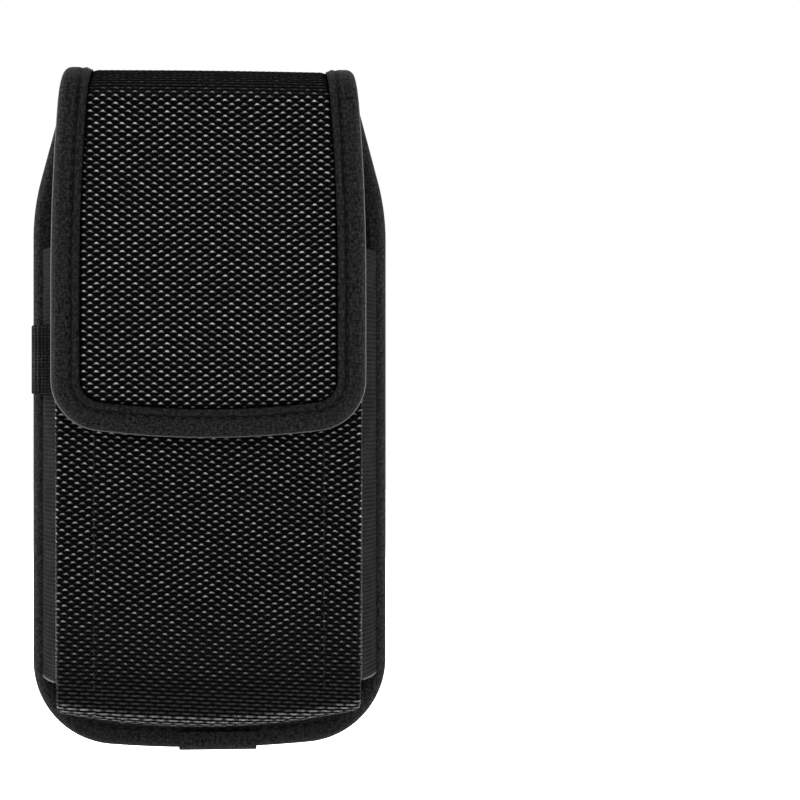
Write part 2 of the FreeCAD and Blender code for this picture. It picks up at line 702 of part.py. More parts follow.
def gate_point(depth):
    """Point on the gate's axis at a depth below the gate's top, on the flat carabiner."""
    lean = math.radians(GATE_LEAN)
    return (GATE_TOP_X - depth * math.sin(lean), GATE_TOP_Z - depth * math.cos(lean))


def bottom_bend_centre():
    """Centre of the bottom bend on the flat carabiner, a little above the nose."""
    return BOTTOM_BEND_X, gate_point(NOSE_DEPTH)[1] + BOTTOM_BEND_RISE


def carabiner_path():
    """Middle line of the body: shoulder, top bend, spine and bottom bend up to the nose."""
    bottom_x, bottom_z = bottom_bend_centre()
    ferrule = gate_point(-FERRULE_LENGTH - GATE_END_GAP)
    shoulder = (math.atan2(ferrule[1], ferrule[0]) % (2 * math.pi)
                - math.acos(TOP_BEND_RADIUS / math.hypot(*ferrule)))
    nose = gate_point(NOSE_DEPTH)
    bottom_radius = math.hypot(nose[0] - bottom_x, nose[1] - bottom_z)
    span = math.hypot(bottom_x, bottom_z)
    lean = math.asin((bottom_radius - TOP_BEND_RADIUS) / span) - math.atan2(-bottom_x, -bottom_z)

    def top(turn):
        return (TOP_BEND_RADIUS * math.cos(turn), 0, TOP_BEND_RADIUS * math.sin(turn))

    def bottom(turn):
        return (bottom_x + bottom_radius * math.cos(turn), 0,
                bottom_z + bottom_radius * math.sin(turn))

    end = math.atan2(nose[1] - bottom_z, nose[0] - bottom_x)
    end = end - 2 * math.pi if end > 0 else end
    return [line((ferrule[0], 0, ferrule[1]), top(shoulder)),
            arc(top(shoulder), top((shoulder + lean) / 2), top(lean)),
            line(top(lean), bottom(lean)),
            arc(bottom(lean), bottom((lean + end) / 2), bottom(end))]


def make_carabiner_body():
    """Bent rod with a flat tongue at each end, one for the gate's rivet and one for its pin."""
    body = rod(carabiner_path(), ROD_RADIUS)
    nose = gate_point(NOSE_DEPTH)
    body = body.fuse(Part.makeSphere(ROD_RADIUS, V(nose[0], 0, nose[1])))
    gate_room = Part.makeCylinder(2 * GATE_RADIUS, NOSE_DEPTH, V(0, 0, -GATE_LENGTH - GATE_END_GAP))
    body = body.cut(on_gate_axis(gate_room))
    half = TONGUE_THICKNESS / 2
    wide = TONGUE_HALF_WIDTH
    ferrule = Part.makeCylinder(GATE_RADIUS, FERRULE_LENGTH, V(0, 0, GATE_END_GAP))
    ferrule = round_rim(ferrule, GATE_RADIUS - ROD_RADIUS,
                        lambda edge: edge.BoundBox.ZMin > FERRULE_LENGTH)
    elbow = Part.makeSphere(ROD_RADIUS, V(0, 0, GATE_END_GAP + FERRULE_LENGTH))
    tongue = block((-wide, -half, -PIVOT_DEPTH), (wide, half, FERRULE_LENGTH))
    tongue = tongue.fuse(cross_pin(wide, TONGUE_THICKNESS, PIVOT_DEPTH))
    tongue = tongue.cut(cross_pin(RIVET_RADIUS, 2 * GATE_RADIUS, PIVOT_DEPTH))
    base = GATE_LENGTH + GATE_END_GAP
    stub = Part.makeCylinder(ROD_RADIUS, GATE_END_GAP, V(0, 0, -base - GATE_END_GAP))
    hook = block((-wide, -half, -base - GATE_END_GAP),
                 (wide, half, -LATCH_DEPTH - LATCH_HEAD_GAP))
    notch_radius = PIN_RADIUS + PIN_CLEARANCE
    notch = cross_pin(notch_radius, 2 * GATE_RADIUS, PIN_DEPTH)
    notch = notch.fuse(block((0, -GATE_RADIUS, -PIN_DEPTH - notch_radius),
                             (FAR, GATE_RADIUS, -PIN_DEPTH + notch_radius)))
    ends = ferrule.multiFuse([elbow, tongue, stub, hook.cut(notch)])
    body = body.fuse(on_gate_axis(ends)).removeSplitter()
    return seat_carabiner(body)


def make_carabiner_gate():
    """Tube, forked at the top round the tongue and slotted at the bottom round the nose."""
    gate = Part.makeCylinder(GATE_RADIUS, GATE_LENGTH, V(0, 0, -GATE_LENGTH))
    swing = PIVOT_DEPTH + GATE_END_GAP / 2
    gate = gate.common(cross_pin(swing, 2 * FAR, PIVOT_DEPTH).fuse(
        block((-FAR, -FAR, -FAR), (FAR, FAR, -PIVOT_DEPTH))))
    half = TONGUE_THICKNESS / 2 + FORK_CLEARANCE
    gate = gate.cut(block((-FAR, -half, -FORK_DEPTH), (FAR, half, FAR)))
    gate = gate.cut(block((-FAR, -half, -FAR), (FAR, half, -LATCH_DEPTH)))
    bore = SPRING_BORE_DEPTH - FORK_DEPTH
    gate = gate.cut(Part.makeCylinder(SPRING_BORE_RADIUS, bore, V(0, 0, -SPRING_BORE_DEPTH)))
    gate = gate.cut(cross_pin(RIVET_RADIUS + BEARING_CLEARANCE, 2 * FAR, PIVOT_DEPTH))
    gate = gate.cut(cross_pin(PIN_RADIUS, 2 * FAR, PIN_DEPTH))
    return seat_carabiner(on_gate_axis(gate))


def make_gate_rivet():
    """Rivet through the fork and the tongue."""
    return seat_carabiner(on_gate_axis(cross_pin(RIVET_RADIUS, 2 * GATE_RADIUS, PIVOT_DEPTH)))


def make_latch_pin():
    """Pin across the gate's free end."""
    return seat_carabiner(on_gate_axis(cross_pin(PIN_RADIUS, 2 * GATE_RADIUS - GATE_END_GAP,
                                                 PIN_DEPTH)))


def pusher_head_depth():
    """Depth of the pusher's head below the gate's top."""
    return PIVOT_DEPTH + TONGUE_HALF_WIDTH + PUSHER_GAP + PUSHER_NECK


def make_spring_pusher():
    """Plunger between the spring and the tongue's round end."""
    head = pusher_head_depth()
    neck = Part.makeCylinder(PUSHER_TIP_RADIUS, PUSHER_NECK, V(0, 0, -head))
    disc = Part.makeCylinder(SPRING_BORE_RADIUS - BEARING_CLEARANCE, PUSHER_HEAD,
                             V(0, 0, -head - PUSHER_HEAD))
    return seat_carabiner(on_gate_axis(neck.fuse(disc).removeSplitter()))


def make_gate_spring():
    """Coil spring between the pusher and the bottom of the gate's bore."""
    top = pusher_head_depth() + PUSHER_HEAD + SPRING_WIRE_RADIUS
    length = SPRING_BORE_DEPTH - SPRING_WIRE_RADIUS - top
    helix = Part.makeHelix(length / SPRING_TURNS, length, SPRING_RADIUS)
    turns = [2 * math.pi * step / SPRING_WIRE_SIDES for step in range(SPRING_WIRE_SIDES + 1)]
    corners = [V(SPRING_RADIUS + SPRING_WIRE_RADIUS * math.cos(turn), 0,
                 SPRING_WIRE_RADIUS * math.sin(turn)) for turn in turns]
    coil = Part.Wire(helix).makePipeShell([Part.makePolygon(corners)], True, True)
    coil.translate(V(0, 0, -top - length))
    return seat_carabiner(on_gate_axis(coil))


def build():
    """Makes every piece, by the name of its file."""
    back_panel = make_back_panel()
    back_binding = make_back_binding()
    ring_tab = make_ring_tab()
    return {
        "back_panel": back_panel,
        "back_lining": make_back_lining(),
        "back_binding": back_binding,
        "bottom_tab": make_bottom_tab(back_binding, back_panel),
        "front_panel": make_front_panel(),
        "front_lining": make_front_lining(),
        "mouth_binding": make_mouth_binding(),
        "gusset_left": make_gusset(-1),
        "gusset_right": make_gusset(1),
        "pen_loop": make_pen_loop(),
        "loop_patch": make_patch(LOOP_HALF_WIDTH, LOOP_BOTTOM, LOOP_HEIGHT, LOOP_FACE, FRONT_FACE),
        "belt_panel": make_belt_panel(),
        "belt_strap": make_belt_strap(ring_tab),
        "ring_tab": ring_tab,
        "flap_panel": make_flap_panel(),
        "flap_lining": make_flap_lining(),
        "flap_binding": make_flap_binding(),
        "hook_patch": make_patch(HOOK_HALF_WIDTH, HOOK_BOTTOM, HOOK_HEIGHT,
                                 FLAP_LINING_FACE, HOOK_FACE),
        "d_ring": make_d_ring(),
        "carabiner_body": make_carabiner_body(),
        "carabiner_gate": make_carabiner_gate(),
        "gate_rivet": make_gate_rivet(),
        "latch_pin": make_latch_pin(),
        "gate_spring": make_gate_spring(),
        "spring_pusher": make_spring_pusher(),
    }


os.makedirs("parts", exist_ok=True)
for node, shape in build().items():
    shape.translate(-FRAME_ORIGIN)
    shape.exportStep("parts/" + node + ".step")
    box = shape.BoundBox
    print("%-16s solids %d valid %s volume %9.1f  x %7.2f %7.2f  y %7.2f %7.2f  z %7.2f %7.2f" % (
        node, len(shape.Solids), shape.isValid(), shape.Volume,
        box.XMin, box.XMax, box.YMin, box.YMax, box.ZMin, box.ZMax))
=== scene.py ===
import logging
import math
from dataclasses import dataclass
from enum import Enum
from typing import Callable, Iterable, Sequence

import bpy
import numpy as np
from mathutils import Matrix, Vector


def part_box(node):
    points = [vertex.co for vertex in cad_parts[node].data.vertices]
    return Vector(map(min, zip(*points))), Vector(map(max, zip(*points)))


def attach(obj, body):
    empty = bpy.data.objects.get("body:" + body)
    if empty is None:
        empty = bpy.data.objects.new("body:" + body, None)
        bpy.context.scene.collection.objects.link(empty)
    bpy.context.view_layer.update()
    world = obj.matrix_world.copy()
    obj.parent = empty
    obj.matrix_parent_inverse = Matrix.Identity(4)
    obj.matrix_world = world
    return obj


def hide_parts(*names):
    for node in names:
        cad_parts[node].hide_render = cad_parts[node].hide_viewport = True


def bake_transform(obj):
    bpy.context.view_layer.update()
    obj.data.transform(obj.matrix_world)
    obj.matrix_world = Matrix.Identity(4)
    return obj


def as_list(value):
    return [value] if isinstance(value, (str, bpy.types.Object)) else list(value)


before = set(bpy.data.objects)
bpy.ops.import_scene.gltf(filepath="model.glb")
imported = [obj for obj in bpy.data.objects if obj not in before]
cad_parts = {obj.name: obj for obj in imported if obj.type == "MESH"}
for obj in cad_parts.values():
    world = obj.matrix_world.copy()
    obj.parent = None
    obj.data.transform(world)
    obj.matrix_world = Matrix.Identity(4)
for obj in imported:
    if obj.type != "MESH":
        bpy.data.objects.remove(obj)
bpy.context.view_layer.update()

# Sizes in this script are millimetres in the frame's own axes. Meshes are written in metres.
MM = 0.001
TURN = 2 * math.pi
LOG = logging.getLogger("holster")
UV_NAME = "cloth"
WHERE_NAME = "where"
# Materials made so far, by the name of their finish.
FINISHED: dict[str, bpy.types.Material] = {}
# Points round a thread and along it.
THREAD_AROUND, THREAD_ALONG = 6, 7
# A yarn's section is 1 - YARN_ROUND * x^2 under a root, with x from -0.5 to 0.5.
YARN_ROUND = 3.9

Surface = Callable[[np.ndarray, np.ndarray, np.ndarray], np.ndarray]
Relief = Callable[[np.ndarray, np.ndarray], np.ndarray]
Width = Callable[[np.ndarray], np.ndarray]


def node_box(node: str) -> tuple[np.ndarray, np.ndarray]:
    """Lowest and highest corner of a node of the frame, in millimetres."""
    low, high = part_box(node)
    return np.array(low) / MM, np.array(high) / MM


def smoothstep(value: np.ndarray) -> np.ndarray:
    """Goes smoothly from 0 to 1 as value goes from 0 to 1: 3 v^2 - 2 v^3."""
    clipped = np.clip(value, 0.0, 1.0)
    return clipped * clipped * (3.0 - 2.0 * clipped)


def half_cosine(share: np.ndarray) -> np.ndarray:
    """Goes from 0 to 1 as share goes from 0 to 1: 0.5 - 0.5 cos(pi share)."""
    return 0.5 - 0.5 * np.cos(math.pi * np.clip(share, 0.0, 1.0))


def ripple(along: np.ndarray, pitch: float) -> np.ndarray:
    """Cosine that repeats at a pitch."""
    return np.cos(TURN * along / pitch)


def stacked(*parts: np.ndarray) -> np.ndarray:
    """Coordinates side by side in a last axis, after they are broadcast to one shape."""
    return np.stack(np.broadcast_arrays(*parts), axis=-1)


def lengths(line: np.ndarray) -> np.ndarray:
    """Way along a line to each of its points: the steps before it, added up."""
    return np.concatenate([[0.0], np.cumsum(np.linalg.norm(np.diff(line, axis=0), axis=1))])


def level_width(half: float) -> Width:
    """Half width that is the same all along a strip."""
    return lambda along: np.full_like(along, half)


def ring_faces(rows: int, columns: int) -> tuple[np.ndarray, list[np.ndarray]]:
    """Faces of a grid whose last column meets its first.

    Args:
        rows: Number of rows.
        columns: Points in each row.

    Returns:
        The quads, and a larger face for each end.
    """
    index = np.arange(rows * columns).reshape(rows, columns)
    after = np.roll(index, -1, axis=1)
    quads = np.stack([index[:-1], after[:-1], after[1:], index[1:]], axis=-1).reshape(-1, 4)
    return quads, [index[0][::-1], index[-1]]


# Meshes from arrays
@dataclass
class Patchwork:
    """Vertices, quads, larger faces and UVs gathered before they become one mesh.

    `where` holds each point's distance from the piece's edge and its way along the piece.
    """

    points: np.ndarray
    uv: np.ndarray
    where: np.ndarray
    quads: np.ndarray
    caps: list[np.ndarray]

    @staticmethod
    def joined(parts: Sequence["Patchwork"]) -> "Patchwork":
        """Puts several together.

        Args:
            parts: The pieces to put into one mesh.

        Returns:
            One set of arrays with the faces renumbered.
        """
        starts = np.cumsum([0] + [len(part.points) for part in parts])
        return Patchwork(
            np.concatenate([part.points for part in parts]),
            np.concatenate([part.uv for part in parts]),
            np.concatenate([part.where for part in parts]),
            np.concatenate([part.quads + start for part, start in zip(parts, starts)]),
            [cap + start for part, start in zip(parts, starts) for cap in part.caps])

    def volume(self) -> float:
        """Signed volume of the closed quads: a sixth of the sum of triple products."""
        a, b, c, d = (self.points[self.quads[:, k]] for k in range(4))
        return float((np.cross(a, b) * c).sum() + (np.cross(a, c) * d).sum()) / 6.0

    def to_object(self, name: str, outward: bool = True) -> bpy.types.Object:
        """Makes the mesh object.

        Args:
            name: Name of the piece.
            outward: Turns all faces over if the mesh encloses a negative volume.

        Returns:
            The object, at the origin, with its place in its mesh.
        """
        quads, caps = self.quads, self.caps
        if outward and self.volume() < 0:
            quads = quads[:, ::-1]
            caps = [cap[::-1] for cap in caps]
        loops = np.concatenate([quads.ravel()] + caps).astype(np.int32)
        sizes = [4] * len(quads) + [len(cap) for cap in caps]
        starts = np.concatenate([[0], np.cumsum(sizes)[:-1]]).astype(np.int32)
        mesh = bpy.data.meshes.new(name)
        mesh.vertices.add(len(self.points))
        mesh.vertices.foreach_set("co", (self.points * MM).astype(np.float32).ravel())
        mesh.loops.add(len(loops))
        mesh.loops.foreach_set("vertex_index", loops)
        mesh.polygons.add(len(starts))
        mesh.polygons.foreach_set("loop_start", starts)
        mesh.update(calc_edges=True)
        layer = mesh.uv_layers.new(name=UV_NAME)
        layer.data.foreach_set("uv", self.uv[loops].astype(np.float32).ravel())
        where = mesh.attributes.new(WHERE_NAME, "FLOAT_VECTOR", "POINT")
        triple = np.pad(self.where, ((0, 0), (0, 1)))
        where.data.foreach_set("vector", triple.astype(np.float32).ravel())
        mesh.validate()
        mesh.shade_smooth()
        piece = bpy.data.objects.new(name, mesh)
        bpy.context.scene.collection.objects.link(piece)
        return piece


def wrapped_grid(points: np.ndarray, uv: np.ndarray, where: np.ndarray) -> Patchwork:
    """Grid of rows whose first and last columns meet, closed at both ends by a face each.

    Args:
        points: Array of rows, columns and xyz. Each row is a closed loop.
        uv: Array of rows, columns and uv.
        where: Array of rows, columns, and distance from the edge with way along.

    Returns:
        The closed band.
    """
    quads, caps = ring_faces(*points.shape[:2])
    return Patchwork(points.reshape(-1, 3), uv.reshape(-1, 2), where.reshape(-1, 2), quads, caps)


def tubes(starts: np.ndarray, ends: np.ndarray, ups: np.ndarray, width: float) -> Patchwork:
    """Short threads: one bowed, tapered capsule from each start to its end.

    Across, a thread is round. Along it, its size follows the root of 1 - s^4, and its middle
    sinks by half its width times s^2 towards both ends.

    Args:
        starts: Points where the threads come up.
        ends: Points where they go down.
        ups: Unit direction in which each stands proud.
        width: Thread's width.

    Returns:
        All threads in one mesh.
    """
    s = np.linspace(-1.0, 1.0, THREAD_ALONG)
    size = width / 2 * np.sqrt(np.clip(1.0 - s ** 4, 0.04, 1.0))
    turn = np.arange(THREAD_AROUND) * 2.0 * math.pi / THREAD_AROUND
    middle, half = (starts + ends) / 2.0, (ends - starts) / 2.0
    side = np.cross(half, ups)
    side /= np.linalg.norm(side, axis=1, keepdims=True)
    ring = (middle[:, None, None] + half[:, None, None] * s[None, :, None, None]
            + side[:, None, None] * (size[:, None] * np.cos(turn))[None, :, :, None]
            + ups[:, None, None] * (size[:, None] * np.sin(turn))[None, :, :, None]
            - ups[:, None, None] * (width / 2 * s ** 2)[None, :, None, None])
    quads, caps = ring_faces(THREAD_ALONG, THREAD_AROUND)
    count, points = len(starts), THREAD_ALONG * THREAD_AROUND
    firsts = np.arange(count) * points
    uv = np.broadcast_to(np.stack(np.meshgrid(turn, s * 2.0), axis=-1),
                         (count, THREAD_ALONG, THREAD_AROUND, 2))
    return Patchwork(ring.reshape(-1, 3), uv.reshape(-1, 2), np.zeros((count * points, 2)),
                     (quads[None] + firsts[:, None, None]).reshape(-1, 4),
                     [cap + first for first in firsts for cap in caps])


# Cloth
@dataclass(frozen=True)
class Stitch:
    """Spacing, length and thickness of a seam's stitches."""

    pitch: float = 3.0
    length: float = 2.2
    width: float = 0.4

    def row(self, place: Callable[[float], np.ndarray], ups: np.ndarray) -> Patchwork:
        """Threads of one seam.

        Args:
            place: Gives the points at a way along from the stitches' middles.
            ups: Unit direction in which each stitch stands proud, or one for all.

        Returns:
            The seam's threads in one mesh.
        """
        starts, ends = place(-self.length / 2), place(self.length / 2)
        return tubes(starts, ends, np.broadcast_to(ups, starts.shape), self.width)


class Held(str, Enum):
    """How a sheet is held."""

    LAID = "laid"
    FOLDED = "folded"
    STRETCHED = "stretched"


@dataclass(frozen=True)
class Cut:
    """Flat size of a sheet in millimetres, and how it is held."""

    width: float
    length: float
    area: float
    held: Held
    rests_on: tuple[str, ...] = ()


@dataclass(frozen=True)
class Profile:
    """Value that changes smoothly between stops of (way along, value)."""

    stops: tuple[tuple[float, float], ...] = ((0.0, 1.0),)

    def follow(self, along: "Wire") -> "Wire | float":
        """The value along a piece.

        Args:
            along: Way along the piece.

        Returns:
            The first stop's value and the smooth steps from it, added up.
        """
        value = self.stops[0][1]
        for (start, low), (end, high) in zip(self.stops, self.stops[1:]):
            if high != low:
                value = along.ramp(start, end) * (high - low) + value
        return value


@dataclass(frozen=True)
class Weave:
    """Plain weave of flat yarns.

    Weft yarns run along u and lie v_pitch apart. Warp yarns run along v and lie u_pitch apart.
    """

    u_pitch: float = 1.6
    v_pitch: float = 1.0
    crown: float = 0.10
    wave: float = 0.11

    def relief(self, u: np.ndarray, v: np.ndarray) -> np.ndarray:
        """Height of the upper yarn over the cloth's middle.

        A yarn's section is half an ellipse. Its middle rises and falls as a cosine, and at each
        crossing the higher of the two yarns shows.

        Args:
            u: Place along the weft.
            v: Place along the warp.

        Returns:
            Height in millimetres, about 0 on average.
        """
        column, row = u / self.u_pitch, v / self.v_pitch
        across_weft = row - np.floor(row) - 0.5
        across_warp = column - np.floor(column) - 0.5
        weft = (self.crown * np.sqrt(1.0 - YARN_ROUND * across_weft ** 2)
                + self.wave * np.cos(math.pi * (column - 0.5 + np.floor(row))))
        warp = (self.crown * np.sqrt(1.0 - YARN_ROUND * across_warp ** 2)
                - self.wave * np.cos(math.pi * (row - 0.5 + np.floor(column))))
        return np.maximum(weft, warp) - self.crown


@dataclass
class Band:
    """Closed strip of material that follows a surface.

    The surface takes (across, along, depth) and gives points. Depth 0 is the face that shows, and
    the strip fills the depths from 0 to thickness. Its two edges are rounded.
    """

    surface: Surface
    rows: np.ndarray
    half_width: Width
    thickness: float
    column_step: float = 0.4
    steady: float = 0.0
    edge_steps: int = 5
    back_columns: int = 8
    relief: Relief | None = None
    centre: float = 0.0
    lay: Callable[[np.ndarray, np.ndarray], tuple[np.ndarray, np.ndarray]] | None = None
    inset: Relief | None = None

    def build(self) -> Patchwork:
        """Works out the strip.

        Columns keep their place up to `steady` from the middle, so that a weave is sampled
        evenly. From there to the edge they stretch with the strip's width. `lay` gives the
        place on the cloth if the cloth is turned, and `inset` the distance from the edge if it
        isn't the strip's own.

        Returns:
            The closed band with UVs of the place on the cloth in millimetres.
        """
        half = self.half_width(self.rows)
        edge = min(self.thickness / 2, half.min() / 4)
        flat = half.max() - edge
        count = max(2, int(round(2 * flat / self.column_step)) + 1)
        nominal = np.linspace(-flat, flat, count)
        stretch = (half[:, None] - edge - self.steady) / (flat - self.steady)
        beyond = np.sign(nominal) * (self.steady + (np.abs(nominal) - self.steady) * stretch)
        face = np.where(np.abs(nominal) <= self.steady, nominal, beyond)
        turn = np.linspace(0.0, math.pi, self.edge_steps + 2)[1:-1]
        out = edge * np.sin(turn)
        down = self.thickness / 2 * (1.0 - np.cos(turn))
        back = np.linspace(1.0, -1.0, self.back_columns)
        flats = (half - edge)[:, None]
        across = np.concatenate([face, flats + out, flats * back, -flats - out[::-1]], axis=1)
        depth = np.concatenate([np.zeros(count), down, np.full(self.back_columns, self.thickness),
                                down[::-1]])
        depth = np.broadcast_to(depth, across.shape).copy()
        along = np.broadcast_to(self.rows[:, None], across.shape)
        across = across + self.centre
        if self.relief is not None:
            shows = np.zeros(across.shape[1])
            shows[:count] = 1.0
            depth -= self.relief(across, along) * shows
        uv = np.stack(self.lay(across, along) if self.lay else (across, along), axis=-1)
        inset = (self.inset(across, along) if self.inset
                 else half[:, None] - np.abs(across - self.centre))
        return wrapped_grid(self.surface(across, along, depth), uv,
                            np.stack([inset, along], axis=-1))

    def cut(self, held: Held, *rests_on: str) -> Cut:
        """The flat cut that this strip is made from.

        Args:
            held: How it is held.
            rests_on: What it rests on.

        Returns:
            Its largest width, its length, and the area between its sides.
        """
        half = self.half_width(self.rows)
        area = float(((half[1:] + half[:-1]) * np.diff(self.rows)).sum())
        return Cut(float(2 * half.max()), float(self.rows[-1] - self.rows[0]), area, held,
                   rests_on)


# Shader maths
class Wire:
    """A shader socket that can be used in Python expressions."""

    def __init__(self, tree: bpy.types.NodeTree, socket: bpy.types.NodeSocket) -> None:
        """Wraps an output socket of a tree."""
        self.tree = tree
        self.socket = socket

    def _math(self, operation: str, *values: "Wire | float") -> "Wire":
        """Adds one Math node."""
        return Nodes(self.tree).add("ShaderNodeMath", {"operation": operation}, *values)

    def __add__(self, other: "Wire | float") -> "Wire":
        """Sum."""
        return self._math("ADD", self, other)

    __radd__ = __add__

    def __sub__(self, other: "Wire | float") -> "Wire":
        """Difference."""
        return self._math("SUBTRACT", self, other)

    def __rsub__(self, other: float) -> "Wire":
        """Difference from a number."""
        return self._math("SUBTRACT", other, self)

    def __mul__(self, other: "Wire | float") -> "Wire":
        """Product."""
        return self._math("MULTIPLY", self, other)

    __rmul__ = __mul__

    def __truediv__(self, other: "Wire | float") -> "Wire":
        """Quotient."""
        return self._math("DIVIDE", self, other)

    def floor(self) -> "Wire":
        """Largest whole number below."""
        return self._math("FLOOR", self)

    def fraction(self) -> "Wire":
        """Part after the whole number."""
        return self._math("FRACT", self)

    def cosine(self) -> "Wire":
        """Cosine of radians."""
        return self._math("COSINE", self)

    def sine(self) -> "Wire":
        """Sine of radians."""
        return self._math("SINE", self)

    def root(self) -> "Wire":
        """Square root."""
        return self._math("SQRT", self)

    def size(self) -> "Wire":
        """Absolute value."""
        return self._math("ABSOLUTE", self)

    def larger(self, other: "Wire | float") -> "Wire":
        """The larger of two values."""
        return self._math("MAXIMUM", self, other)

    def ripple(self, pitch: float) -> "Wire":
        """Cosine that repeats at a pitch."""
        return (self * (TURN / pitch)).cosine()

    def ramp(self, low: float, high: float) -> "Wire":
        """Goes smoothly from 0 at low to 1 at high."""
        return Nodes(self.tree).add("ShaderNodeMapRange", {"interpolation_type": "SMOOTHSTEP"},
                                    self, low, high, 0.0, 1.0)


@dataclass
class Nodes:
    """Adds nodes to a material's tree."""

    tree: bpy.types.NodeTree

    def add(self, kind: str, settings: dict[str, object] | None = None,
            *values: object, output: int | str = 0) -> Wire:
        """Adds a node, sets it up and fills its sockets.

        Args:
            kind: The node's type.
            settings: Properties that are set before the sockets.
            values: Numbers, colours or wires for the input sockets in order, None for unused.
            output: The output that is wanted.

        Returns:
            That output.
        """
        node = self.tree.nodes.new(kind)
        for name, value in (settings or {}).items():
            setattr(node, name, value)
        for socket, value in zip(node.inputs, values):
            self.plug(socket, value)
        return Wire(self.tree, node.outputs[output])

    def plug(self, socket: bpy.types.NodeSocket, value: object) -> None:
        """Links a wire to a socket, or sets the socket to a value.

        Args:
            socket: The input socket.
            value: A wire, a value, or None to leave the socket alone.
        """
        if isinstance(value, Wire):
            self.tree.links.new(value.socket, socket)
        elif value is not None:
            socket.default_value = value

    def mixed(self, share: "Wire | float", low: object, high: object) -> Wire:
        """Colour between two others. In an RGBA Mix node they are inputs 6 and 7, output 2.

        Args:
            share: 0 for low, 1 for high.
            low: Colour or wire.
            high: Colour or wire.

        Returns:
            The mixed colour.
        """
        return self.add("ShaderNodeMix", {"data_type": "RGBA"}, share, None, None, None, None,
                        None, low, high, output=2)

    def noise(self, vector: Wire, scale: float, detail: float = 2.0) -> Wire:
        """Noise between 0 and 1 at a scale in cells per unit of the vector."""
        return self.add("ShaderNodeTexNoise", {"noise_dimensions": "3D"}, vector, None, scale,
                        detail)

    def parts(self, vector: Wire) -> tuple[Wire, Wire]:
        """First and second part of a vector."""
        node = self.tree.nodes.new("ShaderNodeSeparateXYZ")
        self.plug(node.inputs[0], vector)
        return Wire(self.tree, node.outputs[0]), Wire(self.tree, node.outputs[1])

    def cloth_place(self) -> tuple[Wire, Wire, Wire]:
        """Place on the cloth in millimetres: across, along and both as a vector."""
        place = self.add("ShaderNodeUVMap", {"uv_map": UV_NAME})
        return *self.parts(place), place

    def where(self) -> tuple[Wire, Wire]:
        """Distance from the piece's edge and way along the piece, in millimetres."""
        return self.parts(self.add("ShaderNodeAttribute", {"attribute_name": WHERE_NAME},
                                   output="Vector"))

    def stretched(self, vector: Wire, factors: tuple[float, float, float]) -> Wire:
        """Vector with each part multiplied."""
        return self.add("ShaderNodeVectorMath", {"operation": "MULTIPLY"}, vector, factors)

    def solid_place(self) -> Wire:
        """Place in the frame, in metres."""
        return self.add("ShaderNodeTexCoord", None, output="Object")


Grey = tuple[float, float, float, float]


def grey(level: float) -> Grey:
    """Neutral colour."""
    return (level, level, level, 1.0)


def new_material(name: str) -> tuple[bpy.types.Material, Nodes, bpy.types.Node]:
    """Makes a material.

    Args:
        name: Its name.

    Returns:
        The material, its nodes and its Principled shader.
    """
    material = bpy.data.materials.new(name)
    material.use_nodes = True
    return material, Nodes(material.node_tree), material.node_tree.nodes["Principled BSDF"]


@dataclass(frozen=True)
class Finish:
    """What every material has: a name, a shader and a way to set it."""

    name: str

    def material(self) -> bpy.types.Material:
        """Makes the material the first time, and returns it.

        Returns:
            The one material of this finish's name.
        """
        if self.name not in FINISHED:
            FINISHED[self.name], nodes, shader = new_material(self.name)
            self.wire_up(nodes, shader)
        return FINISHED[self.name]

    def wire_up(self, nodes: Nodes, shader: bpy.types.Node) -> None:
        """Sets the shader's sockets. Each finish has its own."""
        raise NotImplementedError

    @staticmethod
    def settle(nodes: Nodes, shader: bpy.types.Node, colour: Wire, roughness: Wire,
               specular: float, height: Wire, strength: float) -> None:
        """Feeds the shader.

        Args:
            nodes: The material's nodes.
            shader: Its Principled shader.
            colour: Base colour.
            roughness: Roughness.
            specular: Specular level, the same all over.
            height: Height of the fine relief in millimetres.
            strength: Strength of its bump.
        """
        nodes.plug(shader.inputs["Base Color"], colour)
        nodes.plug(shader.inputs["Roughness"], roughness)
        shader.inputs["Specular IOR Level"].default_value = specular
        bump = nodes.tree.nodes.new("ShaderNodeBump")
        bump.inputs["Strength"].default_value = strength
        bump.inputs["Distance"].default_value = MM
        nodes.plug(bump.inputs["Height"], height)
        nodes.tree.links.new(bump.outputs[0], shader.inputs["Normal"])


class Grain(Enum):
    """Which way the bright weft floats run on the cloth's UVs."""

    ACROSS = "across"
    ALONG = "along"


